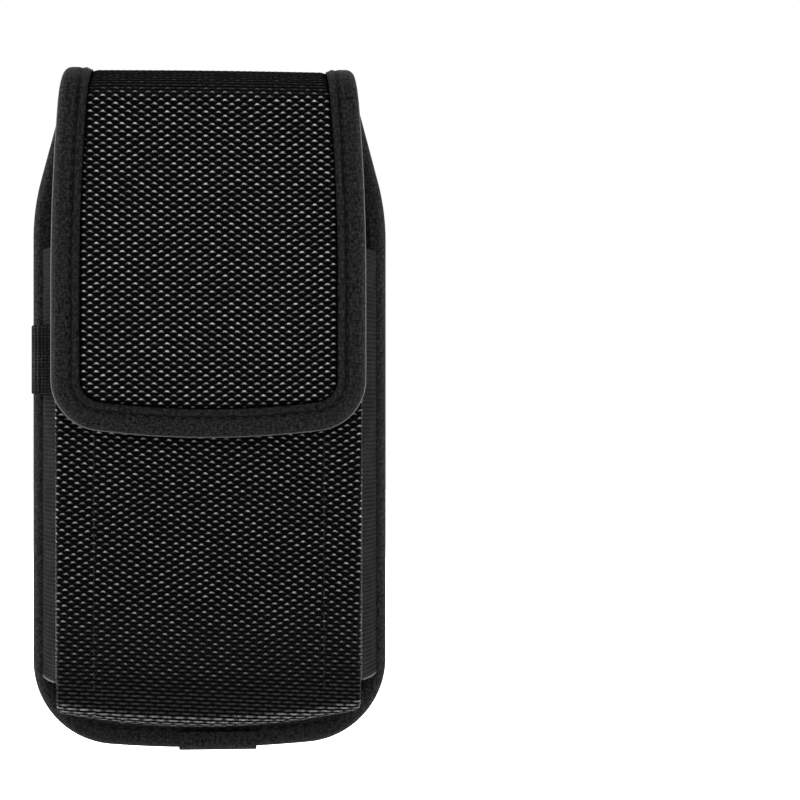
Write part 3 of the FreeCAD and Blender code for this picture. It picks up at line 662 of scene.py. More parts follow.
@dataclass(frozen=True)
class BallisticNylon(Finish):
    """Plain weave of thick filament yarns. The weft floats shine.

    `dark` is the yarns' tone and `light` the tone of the highlight painted on the floats, `spots`
    and `ribs` the share of painted float highlights and of painted lit yarns along the piece.
    `arch`, `lean`, `thin` and `tail` shape a float's painted highlight, `wave_edge` says how long
    it is, and `paired` puts two thin ones on a yarn. `fold_light` paints a light line along a
    folded side edge. `sunk` is the distance from the edge over which the cloth comes out of its
    painted shade, where its tone is `shaded` of `dark`.
    """

    grain: Grain = Grain.ACROSS
    weave: Weave = Weave()
    dark: float = 0.0016
    light: float = 0.31
    spots: Profile = Profile()
    ribs: Profile = Profile(((0.0, 0.0),))
    rib_edge: tuple[float, float] = (-3.0, -2.0)
    wave_edge: tuple[float, float] = (0.4, 1.0)
    arch: float = 0.3
    lean: float = 0.5
    tail: float = 0.07
    thin: float = 12.0
    paired: bool = False
    pair_gap: float = 0.34
    fold_light: float = 0.0
    sunk: tuple[float, float] = (-2.0, -1.0)
    shaded: float = 0.3
    filaments: float = 7.0
    strand_height: float = 0.006
    fuzz_height: float = 0.02

    def wire_up(self, nodes: Nodes, shader: bpy.types.Node) -> None:
        """Weave height, float mask and filaments from the cloth's own coordinates.

        A float's painted highlight follows an arch: row offset = arch (1 - cos t) + lean sin t,
        where t goes round once in two warp yarns and is 0 at the float's middle.

        Args:
            nodes: The material's nodes.
            shader: Its shader.
        """
        across, along, place = nodes.cloth_place()
        inset, way = nodes.where()
        if self.grain is Grain.ALONG:
            across, along = along, across
        weave = self.weave
        # The rows wander a little.
        drift = (nodes.noise(place, 0.35) - 0.5) * 0.2
        column = across / weave.u_pitch
        row = (along + drift) / weave.v_pitch
        across_weft = row.fraction() - 0.5
        across_warp = column.fraction() - 0.5
        weft_crown = (1.0 - across_weft * across_weft * YARN_ROUND).root()
        warp_crown = (1.0 - across_warp * across_warp * YARN_ROUND).root()
        turn = (column - 0.5 + row.floor()) * math.pi
        wave = turn.cosine()
        warp_wave = ((row - 0.5 + column.floor()) * math.pi).cosine()
        weft = weft_crown * weave.crown + wave * weave.wave
        warp = warp_crown * weave.crown - warp_wave * weave.wave
        on_top = (weft - warp).ramp(-0.01, 0.03)
        # The weft shows its filaments lengthwise, the warp half as many again.
        strands = (across_weft * (TURN * self.filaments)).sine() * on_top
        strands = strands + (across_warp * (1.5 * TURN * self.filaments)).sine() * (1 - on_top)
        fuzz = nodes.noise(place, 2.2, 3.0)
        height = weft.larger(warp) + strands * self.strand_height + fuzz * self.fuzz_height
        # Painted highlights on the floats: their arch, how far they reach and how unevenly they
        # shine.
        lean = (nodes.noise(place, 0.06, 1.0) - 0.5) * self.lean + (fuzz - 0.5) * 0.3
        if self.paired:
            bent = across_weft.size() - self.pair_gap
        else:
            bent = across_weft - (1.0 - wave) * self.arch - turn.sine() * lean
        body = (1.0 - bent * bent * self.thin).ramp(0.1, 0.95)
        uneven = nodes.noise(place, 0.8, 1.0).ramp(0.32, 0.68) * 0.75 + 0.25
        lit = (turn + (fuzz - 0.5) * 1.6).cosine()
        spot = body * (lit.ramp(*self.wave_edge) * uneven + wave.ramp(-0.7, 0.5) * self.tail)
        # Painted shade beside the binding: within `sunk` of the edge the float highlights fade out.
        clear = inset.ramp(*self.sunk)
        shine = spot * self.spots.follow(way) * clear
        # Painted highlights where the cloth bends away: whole yarns are lit in the colour, and a
        # folded side edge gets a light line.
        rib = (weft_crown.ramp(0.8, 1.0) * wave.ramp(*self.rib_edge)
               * (fuzz.ramp(0.3, 0.7) * 0.7 + 0.15) * self.ribs.follow(way) * clear)
        bent_over = ((1.0 - inset.ramp(0.05, 0.5)) * (weft_crown.ramp(0.4, 0.9) * 0.8 + 0.2)
                     * fuzz.ramp(0.3, 0.7))
        share = shine.larger(rib).larger(bent_over * self.fold_light)
        # Painted shade: near the edge the base tone drops to `shaded` of `dark`.
        base = nodes.mixed(clear, grey(self.dark * self.shaded), grey(self.dark))
        # The base colour goes towards `light` by the share of painted highlight.
        self.settle(nodes, shader, nodes.mixed(share, base, grey(self.light)),
                    0.7 - shine * 0.3, 0.0, height, 1.0)


@dataclass(frozen=True)
class RibbedElastic(Finish):
    """Elastic band: cross ribs over fine lengthwise cords."""

    rib_pitch: float = 1.1
    cord_pitch: float = 0.62
    level: float = 0.0032
    edge_light: float = 0.11
    raw_light: float = 0.0

    def wire_up(self, nodes: Nodes, shader: bpy.types.Node) -> None:
        """Ribs along the band, cords across it, a painted highlight along the selvages and a light
        line at the raw end.

        Args:
            nodes: The material's nodes.
            shader: Its shader.
        """
        across, along, place = nodes.cloth_place()
        inset, way = nodes.where()
        rib, cord = along.ripple(self.rib_pitch), across.ripple(self.cord_pitch)
        fuzz = nodes.noise(place, 2.6, 3.0)
        patches = nodes.noise(place, 0.12, 2.0).ramp(0.4, 0.65)
        top = rib.ramp(-0.4, 0.9)
        light = (top * 0.3 + 0.1 + (fuzz.ramp(0.42, 0.62) * cord.ramp(-0.8, 0.6)
                                    * (patches * 1.4 + 0.5)))
        # Painted highlight: the selvages are lighter, as edges lit from the side.
        selvage = (1.0 - inset.ramp(0.08, 0.45)) * fuzz.ramp(0.35, 0.65)
        raw = (1.0 - way.ramp(0.2, 0.6)) * fuzz.ramp(0.35, 0.65) * self.raw_light
        colour = nodes.mixed(light, grey(self.level * 0.1), grey(self.level * 3.6))
        colour = nodes.mixed((selvage * self.edge_light).larger(raw), colour, grey(0.9))
        self.settle(nodes, shader, colour, 0.85 - light * 0.1, 0.02,
                    rib * 0.05 + cord * 0.03 * top + fuzz * 0.05, 0.8)


@dataclass(frozen=True)
class TwillTape(Finish):
    """Matte tape with fine crossing diagonals.

    `ridge` is the strength of a highlight painted along the tape's outer ridge, `ridge_at` its way
    round the folded tape.
    `seam` is the painted shade along the stitches, `seam_at` their distance from the tape's edge.
    """

    level: float = 0.0068
    pitch: float = 0.78
    ridge: float = 0.0
    ridge_at: float = 8.1
    seam_at: float = 2.35
    seam: float = 0.8
    fuzz_depth: float = 0.05

    def wire_up(self, nodes: Nodes, shader: bpy.types.Node) -> None:
        """Crossing diagonals in patches, streaks along the tape between them, and lint.

        Args:
            nodes: The material's nodes.
            shader: Its shader.
        """
        around, along, place = nodes.cloth_place()
        inset, _ = nodes.where()
        crossing = (along + around).ripple(self.pitch) * (along - around).ripple(self.pitch)
        grain = nodes.noise(place, 1.3, 2.0)
        streaks = nodes.noise(nodes.stretched(place, (3.2, 0.5, 1.0)), 1.0, 2.0)
        patches = nodes.noise(place, 0.07, 2.0).ramp(0.4, 0.6)
        lint = nodes.noise(place, 1.3, 0.0).ramp(0.76, 0.84)
        light = (grain.ramp(0.44, 0.58) * 0.45 + crossing.ramp(-0.1, 0.4) * patches * 0.6
                 + streaks.ramp(0.4, 0.6) * (1 - patches) * 0.4 + lint * 1.2)
        # Painted shade: darker at the tape's inner edge and along the stitch line.
        stitched = 1.0 - (inset - self.seam_at).size().ramp(0.2, 0.75)
        shade = (inset.ramp(-0.1, 0.6) * 0.6 + 0.4) * (1.0 - stitched * self.seam)
        colour = nodes.mixed(light * shade, grey(self.level * 0.1), grey(self.level * 3.0))
        if self.ridge > 0.0:
            # Painted highlight: a light line along the outer ridge of the folded tape.
            ridge_glint = 1.0 - ((around - self.ridge_at).size()).ramp(0.25, 0.75)
            colour = nodes.mixed(ridge_glint * (grain * 0.5 + 0.5) * self.ridge, colour, grey(0.3))
        shader.inputs["Sheen Weight"].default_value = 0.03
        shader.inputs["Sheen Roughness"].default_value = 0.4
        self.settle(nodes, shader, colour, 0.9 - grain * 0.08, 0.05,
                    crossing * 0.03 + grain * self.fuzz_depth, 0.8)


@dataclass(frozen=True)
class Thread(Finish):
    """Twisted sewing thread."""

    level: float = 0.007

    def wire_up(self, nodes: Nodes, shader: bpy.types.Node) -> None:
        """Strands wound round the thread.

        Args:
            nodes: The material's nodes.
            shader: Its shader.
        """
        around, along, _ = nodes.cloth_place()
        twist = ((along * 5.0 + around) * 2.0).cosine()
        colour = nodes.mixed(twist.ramp(-0.5, 1.0), grey(self.level * 0.4),
                             grey(self.level * 2.0))
        self.settle(nodes, shader, colour, 0.6 - twist * 0.05, 0.1, twist * 0.03, 0.8)


@dataclass(frozen=True)
class Lining(Finish):
    """Smooth, thin lining cloth with a very fine weave."""

    level: float = 0.009
    pitch: float = 0.45

    def wire_up(self, nodes: Nodes, shader: bpy.types.Node) -> None:
        """Fine crossing yarns and soft creases.

        Args:
            nodes: The material's nodes.
            shader: Its shader.
        """
        across, along, place = nodes.cloth_place()
        yarns = along.ripple(self.pitch) * across.ripple(self.pitch)
        creases = nodes.noise(place, 0.08, 3.0)
        colour = nodes.mixed(yarns.ramp(-1.0, 1.0), grey(self.level * 0.6),
                             grey(self.level * 1.5))
        self.settle(nodes, shader, colour, 0.62 + creases * 0.15, 0.04,
                    yarns * 0.015 + creases * 0.8, 0.6)


@dataclass(frozen=True)
class Pile(Finish):
    """Loop or hook side of the closure tape."""

    level: float = 0.014
    scale: float = 1.6

    def wire_up(self, nodes: Nodes, shader: bpy.types.Node) -> None:
        """Tangled loops.

        Args:
            nodes: The material's nodes.
            shader: Its shader.
        """
        loops = nodes.noise(nodes.cloth_place()[2], self.scale, 4.0)
        colour = nodes.mixed(loops.ramp(0.35, 0.7), grey(self.level * 0.4),
                             grey(self.level * 2.2))
        self.settle(nodes, shader, colour, 0.95 - loops * 0.1, 0.15, loops * 0.25, 1.0)


@dataclass(frozen=True)
class Metal(Finish):
    """Plated, anodised or bare metal with a faint drawn or tumbled surface."""

    colour: Grey = (0.8, 0.8, 0.8, 1.0)
    roughness: float = 0.15
    metallic: float = 1.0
    wear: float = 0.06
    specular: float = 0.5
    dull: float = 0.8

    def wire_up(self, nodes: Nodes, shader: bpy.types.Node) -> None:
        """Fine scratches in the roughness and a slight unevenness of the surface.

        Args:
            nodes: The material's nodes.
            shader: Its shader.
        """
        place = nodes.solid_place()
        fine = nodes.noise(place, 4000.0, 3.0)
        broad = nodes.noise(place, 350.0, 3.0)
        dull = tuple(value * self.dull for value in self.colour[:3]) + (1.0,)
        shader.inputs["Metallic"].default_value = self.metallic
        self.settle(nodes, shader, nodes.mixed(broad.ramp(0.35, 0.75), self.colour, dull),
                    fine * self.wear + broad * self.wear + self.roughness, self.specular,
                    broad * 0.01 + fine * 0.001, 0.4)


# The spots and ribs profiles set how strong the painted highlights are along a piece. On the shell
# they are weaker on the back, faint over the top fold and full on the flap, with painted lit yarns
# below the belt panel and over the fold; `sunk` sets its painted shade beside the binding.
SHELL_NYLON = BallisticNylon(
    "shell_nylon", ribs=Profile(((28.0, 0.12), (31.0, 0.0), (166.0, 0.0), (170.0, 0.06),
                                 (197.0, 0.06), (200.5, 0.0))), sunk=(0.1, 1.3),
    spots=Profile(((27.0, 0.0), (30.0, 0.62), (166.0, 0.62), (170.0, 0.1), (197.0, 0.1),
                   (200.5, 1.0))))
# On the front the painted float highlights fade towards the foot, and the yarns at the turned-under
# fold get a strong painted highlight; `fold_light` paints a light line along the folded side edges.
FRONT_NYLON = BallisticNylon(
    "front_nylon", fold_light=0.16, rib_edge=(-1.5, 0.5),
    spots=Profile(((60.0, 0.7), (95.0, 0.65), (114.0, 0.34), (120.5, 0.16), (122.0, 0.04),
                   (126.5, 0.04), (127.8, 0.4))),
    ribs=Profile(((95.0, 0.0), (112.0, 0.05), (120.5, 0.07), (122.0, 0.13), (126.6, 0.13),
                  (127.8, 0.8))))
# The belt panel's painted highlights are dimmer, with painted shade beside the binding; the strap
# gets a painted light line along its folded edges.
PANEL_NYLON = BallisticNylon("belt_panel_nylon", grain=Grain.ALONG, weave=Weave(1.39, 0.95),
                             light=0.125, lean=0.7, sunk=(0.0, 1.2), arch=0.05,
                             wave_edge=(-0.25, 0.6), tail=0.03)
STRAP_NYLON = BallisticNylon("belt_strap_nylon", grain=Grain.ALONG, weave=Weave(1.33, 1.0),
                             light=0.18, wave_edge=(0.45, 1.0), thin=34.0, tail=0.03,
                             paired=True, fold_light=0.25)
TAPE = TwillTape("matte_tape")
PLAIN_TAPE = TwillTape("unstitched_tape", seam=0.0)
# The flap's tape gets a painted highlight along its outer ridge.
FLAP_TAPE = TwillTape("flap_tape_cloth", ridge=0.25)
ELASTIC = RibbedElastic("ribbed_elastic", raw_light=0.13)
WEBBING = RibbedElastic("narrow_webbing", rib_pitch=0.9, cord_pitch=0.8, level=0.006,
                        edge_light=0.01)
LINING = Lining("lining_cloth")
LOOPS = Pile("loop_pile")
HOOKS = Pile("hook_base", scale=3.0)
THREAD = Thread("black_thread")
NICKEL = Metal("plated_wire", (0.30, 0.25, 0.18, 1.0), roughness=0.08)
ANODISED = Metal("anodised_black", (0.003, 0.003, 0.0035, 1.0), roughness=0.08, metallic=0.0,
                 wear=0.02, specular=0.14)
BRIGHT = Metal("drawn_aluminium", (0.64, 0.64, 0.65, 1.0), roughness=0.34)
STEEL = Metal("dull_steel", (0.30, 0.30, 0.30, 1.0), roughness=0.25)


class Body(str, Enum):
    """Bodies of the frame that pieces ride on."""

    HOLSTER = "holster"
    FLAP = "flap"


@dataclass
class Workshop:
    """Hands finished pieces to the frame and reports them.

    `fold_start` and `fold_end` are the ends of the top fold's bend, both in metres; no piece is
    bent between them here.
    """

    fold_start: tuple[float, float, float]
    fold_end: tuple[float, float, float]

    def put(self, piece: bpy.types.Object, finish: Finish, slot: str, body: Body | None,
            nodes: Iterable[str] = (), cut: Cut | None = None) -> None:
        """Dresses a piece and lets it ride.

        Args:
            piece: The new object.
            finish: Its finish.
            slot: The record's material slot. Not used.
            body: The body that it rides on, or None if it bends across the fold.
            nodes: Nodes that it stands for.
            cut: Its flat cut, if it is a sheet.
        """
        piece.data.materials.append(finish.material())
        if body is None:
            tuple(self.fold_start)
            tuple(self.fold_end)
            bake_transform(piece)
        else:
            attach(piece, body.value)
        for node in nodes:
            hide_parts(node)
        if cut is not None:
            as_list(cut.rests_on)
        LOG.info("%s: %d faces", piece.name, len(piece.data.polygons))


# Shell
@dataclass
class ShellSurface:
    """The one surface of back wall, top fold and flap.

    `along` runs from the bottom edge up the back's outer face, over the fold and down the flap.
    """

    back_y: float
    front_y: float
    bottom_z: float
    height: float
    roof_rise: float = 9.5
    side_radius: float = 7.5
    roof_samples: int = 200

    def __post_init__(self) -> None:
        """Works out the three arcs of the fold."""
        half = (self.back_y - self.front_y) / 2
        rise, small = self.roof_rise, self.side_radius
        self.spring = self.height - rise
        self.crown_radius = ((half - small) ** 2 + rise ** 2 - small ** 2) / (2 * (rise - small))
        self.meet = math.atan2(self.crown_radius - rise, half - small)
        self.side_length = small * self.meet
        self.roof_length = 2 * self.side_length + self.crown_radius * (math.pi - 2 * self.meet)
        self.mid_y = (self.back_y + self.front_y) / 2
        table = np.linspace(self.spring, self.spring + self.roof_length / 2, self.roof_samples)
        self.roof_table = (self.height_of(table), table)

    def point(self, across: np.ndarray, along: np.ndarray, depth: np.ndarray) -> np.ndarray:
        """Point at a depth below the outer face.

        Straight up the back, then three tangent arcs of radius minus depth, then straight down.

        Args:
            across: X.
            along: Way along the surface.
            depth: Depth below the outer face, negative outside it.

        Returns:
            Array of xyz.
        """
        small, big = self.side_radius, self.crown_radius
        first = self.spring
        second = first + self.side_length
        third = second + big * (math.pi - 2 * self.meet)
        last = third + self.side_length
        on_crown = (along >= second) & (along < third)
        nil = 0.0 * along
        turn = np.select(
            [along < first, along < second, along < third, along < last],
            [nil, (along - first) / small, self.meet + (along - second) / big,
             math.pi - self.meet + (along - third) / small], math.pi)
        radius = np.where(on_crown, big, small) - depth
        centre_y = np.select([along < second, along < third],
                             [self.back_y - small + nil, self.mid_y + nil],
                             self.front_y + small)
        centre_z = np.where(on_crown, self.spring + self.roof_rise - big, self.spring)
        below = np.minimum(along - first, 0.0) - np.maximum(along - last, 0.0)
        y = centre_y + radius * np.cos(turn)
        z = self.bottom_z + centre_z + radius * np.sin(turn) + below
        return stacked(across, y, z)

    def height_of(self, along: np.ndarray) -> np.ndarray:
        """Height of the outer face above the bottom edge."""
        return self.point(0.0 * along, along, 0.0 * along)[..., 2] - self.bottom_z

    def along_of(self, height: np.ndarray, front: bool) -> np.ndarray:
        """Way along the surface to a height.

        Args:
            height: Height above the bottom edge.
            front: Whether it is on the flap's side.

        Returns:
            Way along, read back from a table of the roof's heights.
        """
        roof = np.interp(height, *self.roof_table)
        along = np.where(height < self.spring, height, roof)
        return 2 * self.spring + self.roof_length - along if front else along


def arc_line(centre: tuple[float, float], radius: float, start: float, end: float,
             step: float = 0.5) -> np.ndarray:
    """Points along an arc.

    Args:
        centre: Its centre in x and height.
        radius: Its radius.
        start: First angle, from straight down, positive towards +x.
        end: Last angle.
        step: Spacing of the points, about.

    Returns:
        Points of x and height.
    """
    count = max(3, int(abs(end - start) * radius / step) + 1)
    turn = np.linspace(start, end, count)
    return np.stack([centre[0] + radius * np.sin(turn), centre[1] - radius * np.cos(turn)], axis=-1)


def straight_line(start: np.ndarray, end: tuple[float, float], step: float = 0.5) -> np.ndarray:
    """Points along a straight line, about a step apart."""
    share = np.linspace(0.0, 1.0, max(2, int(math.dist(start, end) / step) + 1))[:, None]
    return np.asarray(start) * (1 - share) + np.asarray(end) * share


def bowed_foot(half_width: float, bottom: float, bow: float, corner: float) -> np.ndarray:
    """Right half of a bowed lower edge and its round corner, two arcs that touch.

    Args:
        half_width: Half the width above the corners.
        bottom: Height of the lowest point, in the middle.
        bow: Radius of the lower edge.
        corner: Radius of the corner.

    Returns:
        Points of x and height.
    """
    centre_x = half_width - corner
    centre_z = bottom + bow - math.sqrt((bow - corner) ** 2 - centre_x ** 2)
    meet = math.atan2(centre_x, bottom + bow - centre_z)
    return np.concatenate([arc_line((0.0, bottom + bow), bow, 0.0, meet),
                           arc_line((centre_x, centre_z), corner, meet, math.pi / 2)[1:]])


@dataclass
class Shell:
    """Back wall, top fold and flap: cloth, lining, binding and its stitches."""

    surface: ShellSurface
    half_width: float = 46.0
    bottom_bow: float = 300.0
    bottom_corner: float = 22.0
    shoulder_length: float = 42.0
    shoulder_radius: float = 60.0
    shoulder_inset: float = 9.1
    flap_inset: float = 6.5
    flap_length: float = 93.5
    flap_bow: float = 220.0
    flap_corner: float = 13.0
    flap_taper: float = 55.0
    thickness: float = 2.6
    lining: float = 0.5
    lining_lap: float = 0.6
    lining_end: float = 0.5
    tape: float = 0.9
    tape_width: float = 7.2
    tape_lip: float = 0.3
    lip_slope: float = 1.5
    tape_inner: float = 0.75
    tape_cloth: float = 0.5
    tape_spacing: float = 0.8
    flat_count: int = 15
    nose_count: int = 11
    pucker: float = 0.06
    pucker_width: float = 1.2
    drawn_in: float = 0.35
    drawn_width: float = 1.4
    seam_inset: float = 4.85
    seam_depth: float = 0.28
    seam_width: float = 0.55
    stitch: Stitch = Stitch(3.1, 2.2, 0.42)
    stitch_sink: float = 0.02
    fold_reach: float = 5.5
    fold_spacing: float = 0.4
    cloth_inset: float = 2.4
    cloth_end: float = 4.5
    cloth_steady: float = 29.2
    puff: float = 0.25
    belt_bottom: float = 28.2
    belt_top: float = 136.2

    def __post_init__(self) -> None:
        """Works out the right half of the whole edge, from the back's foot to the flap's."""
        surface = self.surface
        back, flap = self.back_edge(), self.flap_edge()
        back_along = surface.along_of(back[:, 1], front=False)
        flap_along = surface.along_of(flap[:, 1], front=True)
        self.edge = np.concatenate([stacked(back[:, 0], back_along),
                                    stacked(flap[:, 0], flap_along)[1:]])
        self.end = self.edge[-1, 1]
        self.fold = (surface.spring - self.fold_reach, surface.spring + self.fold_reach)

    def back_edge(self) -> np.ndarray:
        """Right edge of the back: bowed foot, straight side, an arc and the sloping shoulder.

        Returns:
            Points of x and height, upwards.
        """
        height = self.surface.height
        top = self.half_width - self.shoulder_inset
        start = height - self.shoulder_length
        centre_x = self.half_width - self.shoulder_radius
        reach = (top - centre_x, height - start)
        turn = math.atan2(reach[1], reach[0]) - math.acos(self.shoulder_radius / math.hypot(*reach))
        foot = bowed_foot(self.half_width, 0.0, self.bottom_bow, self.bottom_corner)
        side = straight_line(foot[-1], (self.half_width, start))
        shoulder = arc_line((centre_x, start), self.shoulder_radius, math.pi / 2,
                            math.pi / 2 + turn)
        slope = straight_line(shoulder[-1], (top, height))
        return np.concatenate([foot, side[1:], shoulder[1:], slope[1:]])

    def flap_edge(self) -> np.ndarray:
        """Right edge of the flap: a long arc that tapers in to the fold, side and bowed foot.

        Returns:
            Points of x and height, downwards.
        """
        height = self.surface.height
        half = self.half_width - self.flap_inset
        foot = bowed_foot(half, height - self.flap_length, self.flap_bow, self.flap_corner)
        side = straight_line(foot[-1], (half, height - self.flap_taper))
        taper = half - (self.half_width - self.shoulder_inset)
        radius = (self.flap_taper ** 2 + taper ** 2) / (2 * taper)
        arc = arc_line((half - radius, height - self.flap_taper), radius, math.pi / 2,
                       math.pi / 2 + math.asin(self.flap_taper / radius))
        return np.concatenate([foot, side[1:], arc[1:]])[::-1]

    def edge_half_width(self, along: np.ndarray) -> np.ndarray:
        """Half width of the shell, binding included, at a way along it."""
        return np.interp(along, self.edge[:, 1], self.edge[:, 0])

    def edge_distance(self, across: np.ndarray, along: np.ndarray) -> np.ndarray:
        """Distance of each point of a grid from the nearest point of the edge.

        Args:
            across: X.
            along: Way along the shell.

        Returns:
            Distance within the cloth, row by row the smallest to any point of the edge.
        """
        line = self.edge_line(0.0, self.end, 1.0)
        return np.stack([np.hypot(np.abs(x)[:, None] - line[:, 0], y[:, None] - line[:, 1])
                         .min(axis=1) for x, y in zip(across, along)])

    def edge_line(self, start: float, end: float, spacing: float) -> np.ndarray:
        """Right half of the edge between two ways along the shell, evenly spaced.

        Args:
            start: First way along.
            end: Last way along.
            spacing: Spacing of the points, about.

        Returns:
            Points of (across, along).
        """
        inside = (self.edge[:, 1] > start) & (self.edge[:, 1] < end)
        ends = [[float(self.edge_half_width(np.array(way))), way] for way in (start, end)]
        line = np.concatenate([ends[:1], self.edge[inside], ends[1:]])
        if start <= self.edge[0, 1]:
            line = np.concatenate([self.edge[:1], line[1:]])
        if end >= self.end:
            line = np.concatenate([line[:-1], self.edge[-1:]])
        length = lengths(line)
        even = np.linspace(0.0, length[-1], max(2, int(length[-1] / spacing) + 1))
        return np.stack([np.interp(even, length, line[:, k]) for k in range(2)], axis=-1)

    @staticmethod
    def mirrored(line: np.ndarray) -> np.ndarray:
        """The same edge on the left side, run the other way."""
        return line[::-1] * [-1.0, 1.0]

    @staticmethod
    def inward(line: np.ndarray) -> np.ndarray:
        """Unit direction in the cloth, square to the line and to its left."""
        ahead = np.gradient(line, axis=0)
        ahead /= np.linalg.norm(ahead, axis=1, keepdims=True)
        return np.stack([-ahead[:, 1], ahead[:, 0]], axis=-1)

    def whole_line(self, start: float, end: float) -> np.ndarray:
        """Edge on both sides, joined over the foot that it reaches.

        Args:
            start: First way along.
            end: Last way along.

        Returns:
            Points of (across, along), with the cloth on their left.
        """
        half = self.edge_line(start, end, self.tape_spacing)
        if start <= self.edge[0, 1]:
            return np.concatenate([self.mirrored(half), half[1:]])
        return np.concatenate([half, self.mirrored(half)[1:]])

    def tape_rise(self, inset: np.ndarray, inner: bool) -> np.ndarray:
        """Height of the tape over the panel.

        A low lip at the tape's inner edge, a full middle and a groove along the seam.

        Args:
            inset: Distance from the shell's edge.
            inner: Whether it is on the lining's side.

        Returns:
            Height at each inset.
        """
        rise = self.tape_inner if inner else self.tape
        full = smoothstep((self.tape_width - inset) / self.lip_slope)
        groove = self.seam_depth * np.exp(-((inset - self.seam_inset) / self.seam_width) ** 2)
        return self.tape_lip + (rise - self.tape_lip) * full - groove

    def binding_section(self) -> np.ndarray:
        """Section of the folded tape.

        The outer face goes from one inner edge round half an ellipse to the other. The inner
        face follows it, one cloth thickness nearer to the panel.

        Returns:
            A closed line of (inset from the edge, depth).
        """
        half = self.thickness / 2
        outer = half + self.tape
        inset = np.linspace(self.tape_width, outer, self.flat_count)
        turn = np.linspace(-math.pi / 2, math.pi / 2, self.nose_count + 2)[1:-1]
        front = np.stack([inset, -self.tape_rise(inset, inner=False)], axis=-1)
        back = np.stack([inset[::-1], self.thickness + self.tape_rise(inset[::-1], inner=True)],
                        axis=-1)
        middle = (front[-1, 1] + back[0, 1]) / 2
        size = (back[0, 1] - front[-1, 1]) / 2
        nose = np.stack([outer - outer * np.cos(turn), middle + size * np.sin(turn)], axis=-1)
        face = np.concatenate([front, nose, back])
        cloth = self.tape_cloth
        shift = [[0.0, cloth]] * len(front) + [
            [cloth * math.cos(way), -cloth * math.sin(way)] for way in turn] + [
            [0.0, -cloth]] * len(back)
        under = (face + np.array(shift))[::-1]
        return np.concatenate([face, under[::2]])

    def binding(self, line: np.ndarray) -> tuple[Patchwork, Cut]:
        """Tape folded round the edge along a line, drawn in a little at each stitch.

        Args:
            line: Points of the edge in (across, along), with the cloth on its left.

        Returns:
            The closed tape with UVs of (way round the section, way along the edge), and its cut.
        """
        section = self.binding_section()
        around = lengths(section)
        along = lengths(line)
        inward = self.inward(line)
        place = line[:, None] + inward[:, None] * section[None, :, :1]
        pucker = self.pucker * ripple(along, self.stitch.pitch)[:, None]
        near = np.exp(-((section[:, 0] - self.seam_inset) / self.pucker_width) ** 2)[None]
        face = np.sign(section[:, 1] - self.thickness / 2)[None]
        depth = section[None, :, 1] - face * pucker * near
        points = self.surface.point(place[..., 0], place[..., 1], depth)
        width = float(around[2 * self.flat_count + self.nose_count - 1])
        length = float(lengths(line + inward * self.tape_width / 2)[-1])
        cut = Cut(width, length, width * length, Held.FOLDED, ("back_cloth", "flap_cloth"))
        edge = np.minimum(around, np.abs(width - around))[None]
        return wrapped_grid(points, stacked(around[None], along[:, None]),
                            stacked(edge, along[:, None])), cut

    def stitches(self, line: np.ndarray) -> Patchwork:
        """Threads along the tape's seam on both faces.

        Args:
            line: Points of the edge in (across, along), with the cloth on its left.

        Returns:
            All threads in one mesh.
        """
        seam = line + self.inward(line) * self.seam_inset
        length = lengths(seam)
        count = int(length[-1] / self.stitch.pitch)
        middle = (np.arange(count) + 0.5) * length[-1] / count

        def place(way: float, depth: float) -> np.ndarray:
            """Points of the seam at a way from the stitches' middles."""
            at = [np.interp(middle + way, length, seam[:, k]) for k in range(2)]
            return self.surface.point(at[0], at[1], np.full(count, depth))

        parts = []
        for inner in (False, True):
            rise = self.tape_rise(np.array([self.seam_inset]), inner)[0] - self.stitch_sink
            depth = self.thickness + rise if inner else -rise
            ups = (place(0.0, depth + 1.0) - place(0.0, depth)) * (1.0 if inner else -1.0)
            parts.append(self.stitch.row(lambda way: place(way, depth), ups))
        return Patchwork.joined(parts)

    def cloth(self, rows: np.ndarray, weave: Weave, fade: Width) -> Patchwork:
        """Padded cloth between two ways along the shell, reaching under the binding.

        Args:
            rows: Ways along the shell.
            weave: The cloth's weave.
            fade: Share of the weave's relief at a way along.

        Returns:
            The closed panel.
        """
        def half(along: np.ndarray) -> np.ndarray:
            """Half the cloth's width."""
            return self.edge_half_width(along) - self.cloth_inset

        def beyond_tape(across: np.ndarray, along: np.ndarray) -> np.ndarray:
            """Distance from the binding's inner edge."""
            return self.edge_distance(across, along) - self.tape_width

        def relief(across: np.ndarray, along: np.ndarray) -> np.ndarray:
            """Weave, a crown of 1 - s^2 across, and the dip beside the binding."""
            crowned = self.puff * (1.0 - (across / half(along)) ** 2)
            drawn = self.drawn_in * (1 - smoothstep(beyond_tape(across, along)
                                                    / self.drawn_width))
            return weave.relief(across, along) * fade(along) + crowned - drawn

        return Band(self.surface.point, rows, half, self.thickness, weave.u_pitch / 4,
                    steady=self.cloth_steady, relief=relief, inset=beyond_tape).build()

    def lining_band(self, start: float, end: float) -> Band:
        """Lining between two ways along the shell, within the binding.

        Args:
            start: First way along.
            end: Last way along.

        Returns:
            Its strip.
        """
        def under(across: np.ndarray, along: np.ndarray, depth: np.ndarray) -> np.ndarray:
            """The shell's surface, inside the wall and facing inwards."""
            return self.surface.point(across, along, self.thickness + self.lining - depth)

        def half(along: np.ndarray) -> np.ndarray:
            """Half the lining's width, lapping under the tape."""
            return self.edge_half_width(along) - self.tape_width + self.lining_lap

        rows = np.linspace(start, end, max(4, int((end - start) / 1.5)))
        return Band(under, rows, half, self.lining, 3.0, edge_steps=1, back_columns=10)

    def make(self, shop: Workshop) -> None:
        """Builds every piece of the shell.

        Args:
            shop: Takes the pieces.
        """
        fold_low, fold_high = self.fold
        weave = Weave()
        step = weave.v_pitch / 4

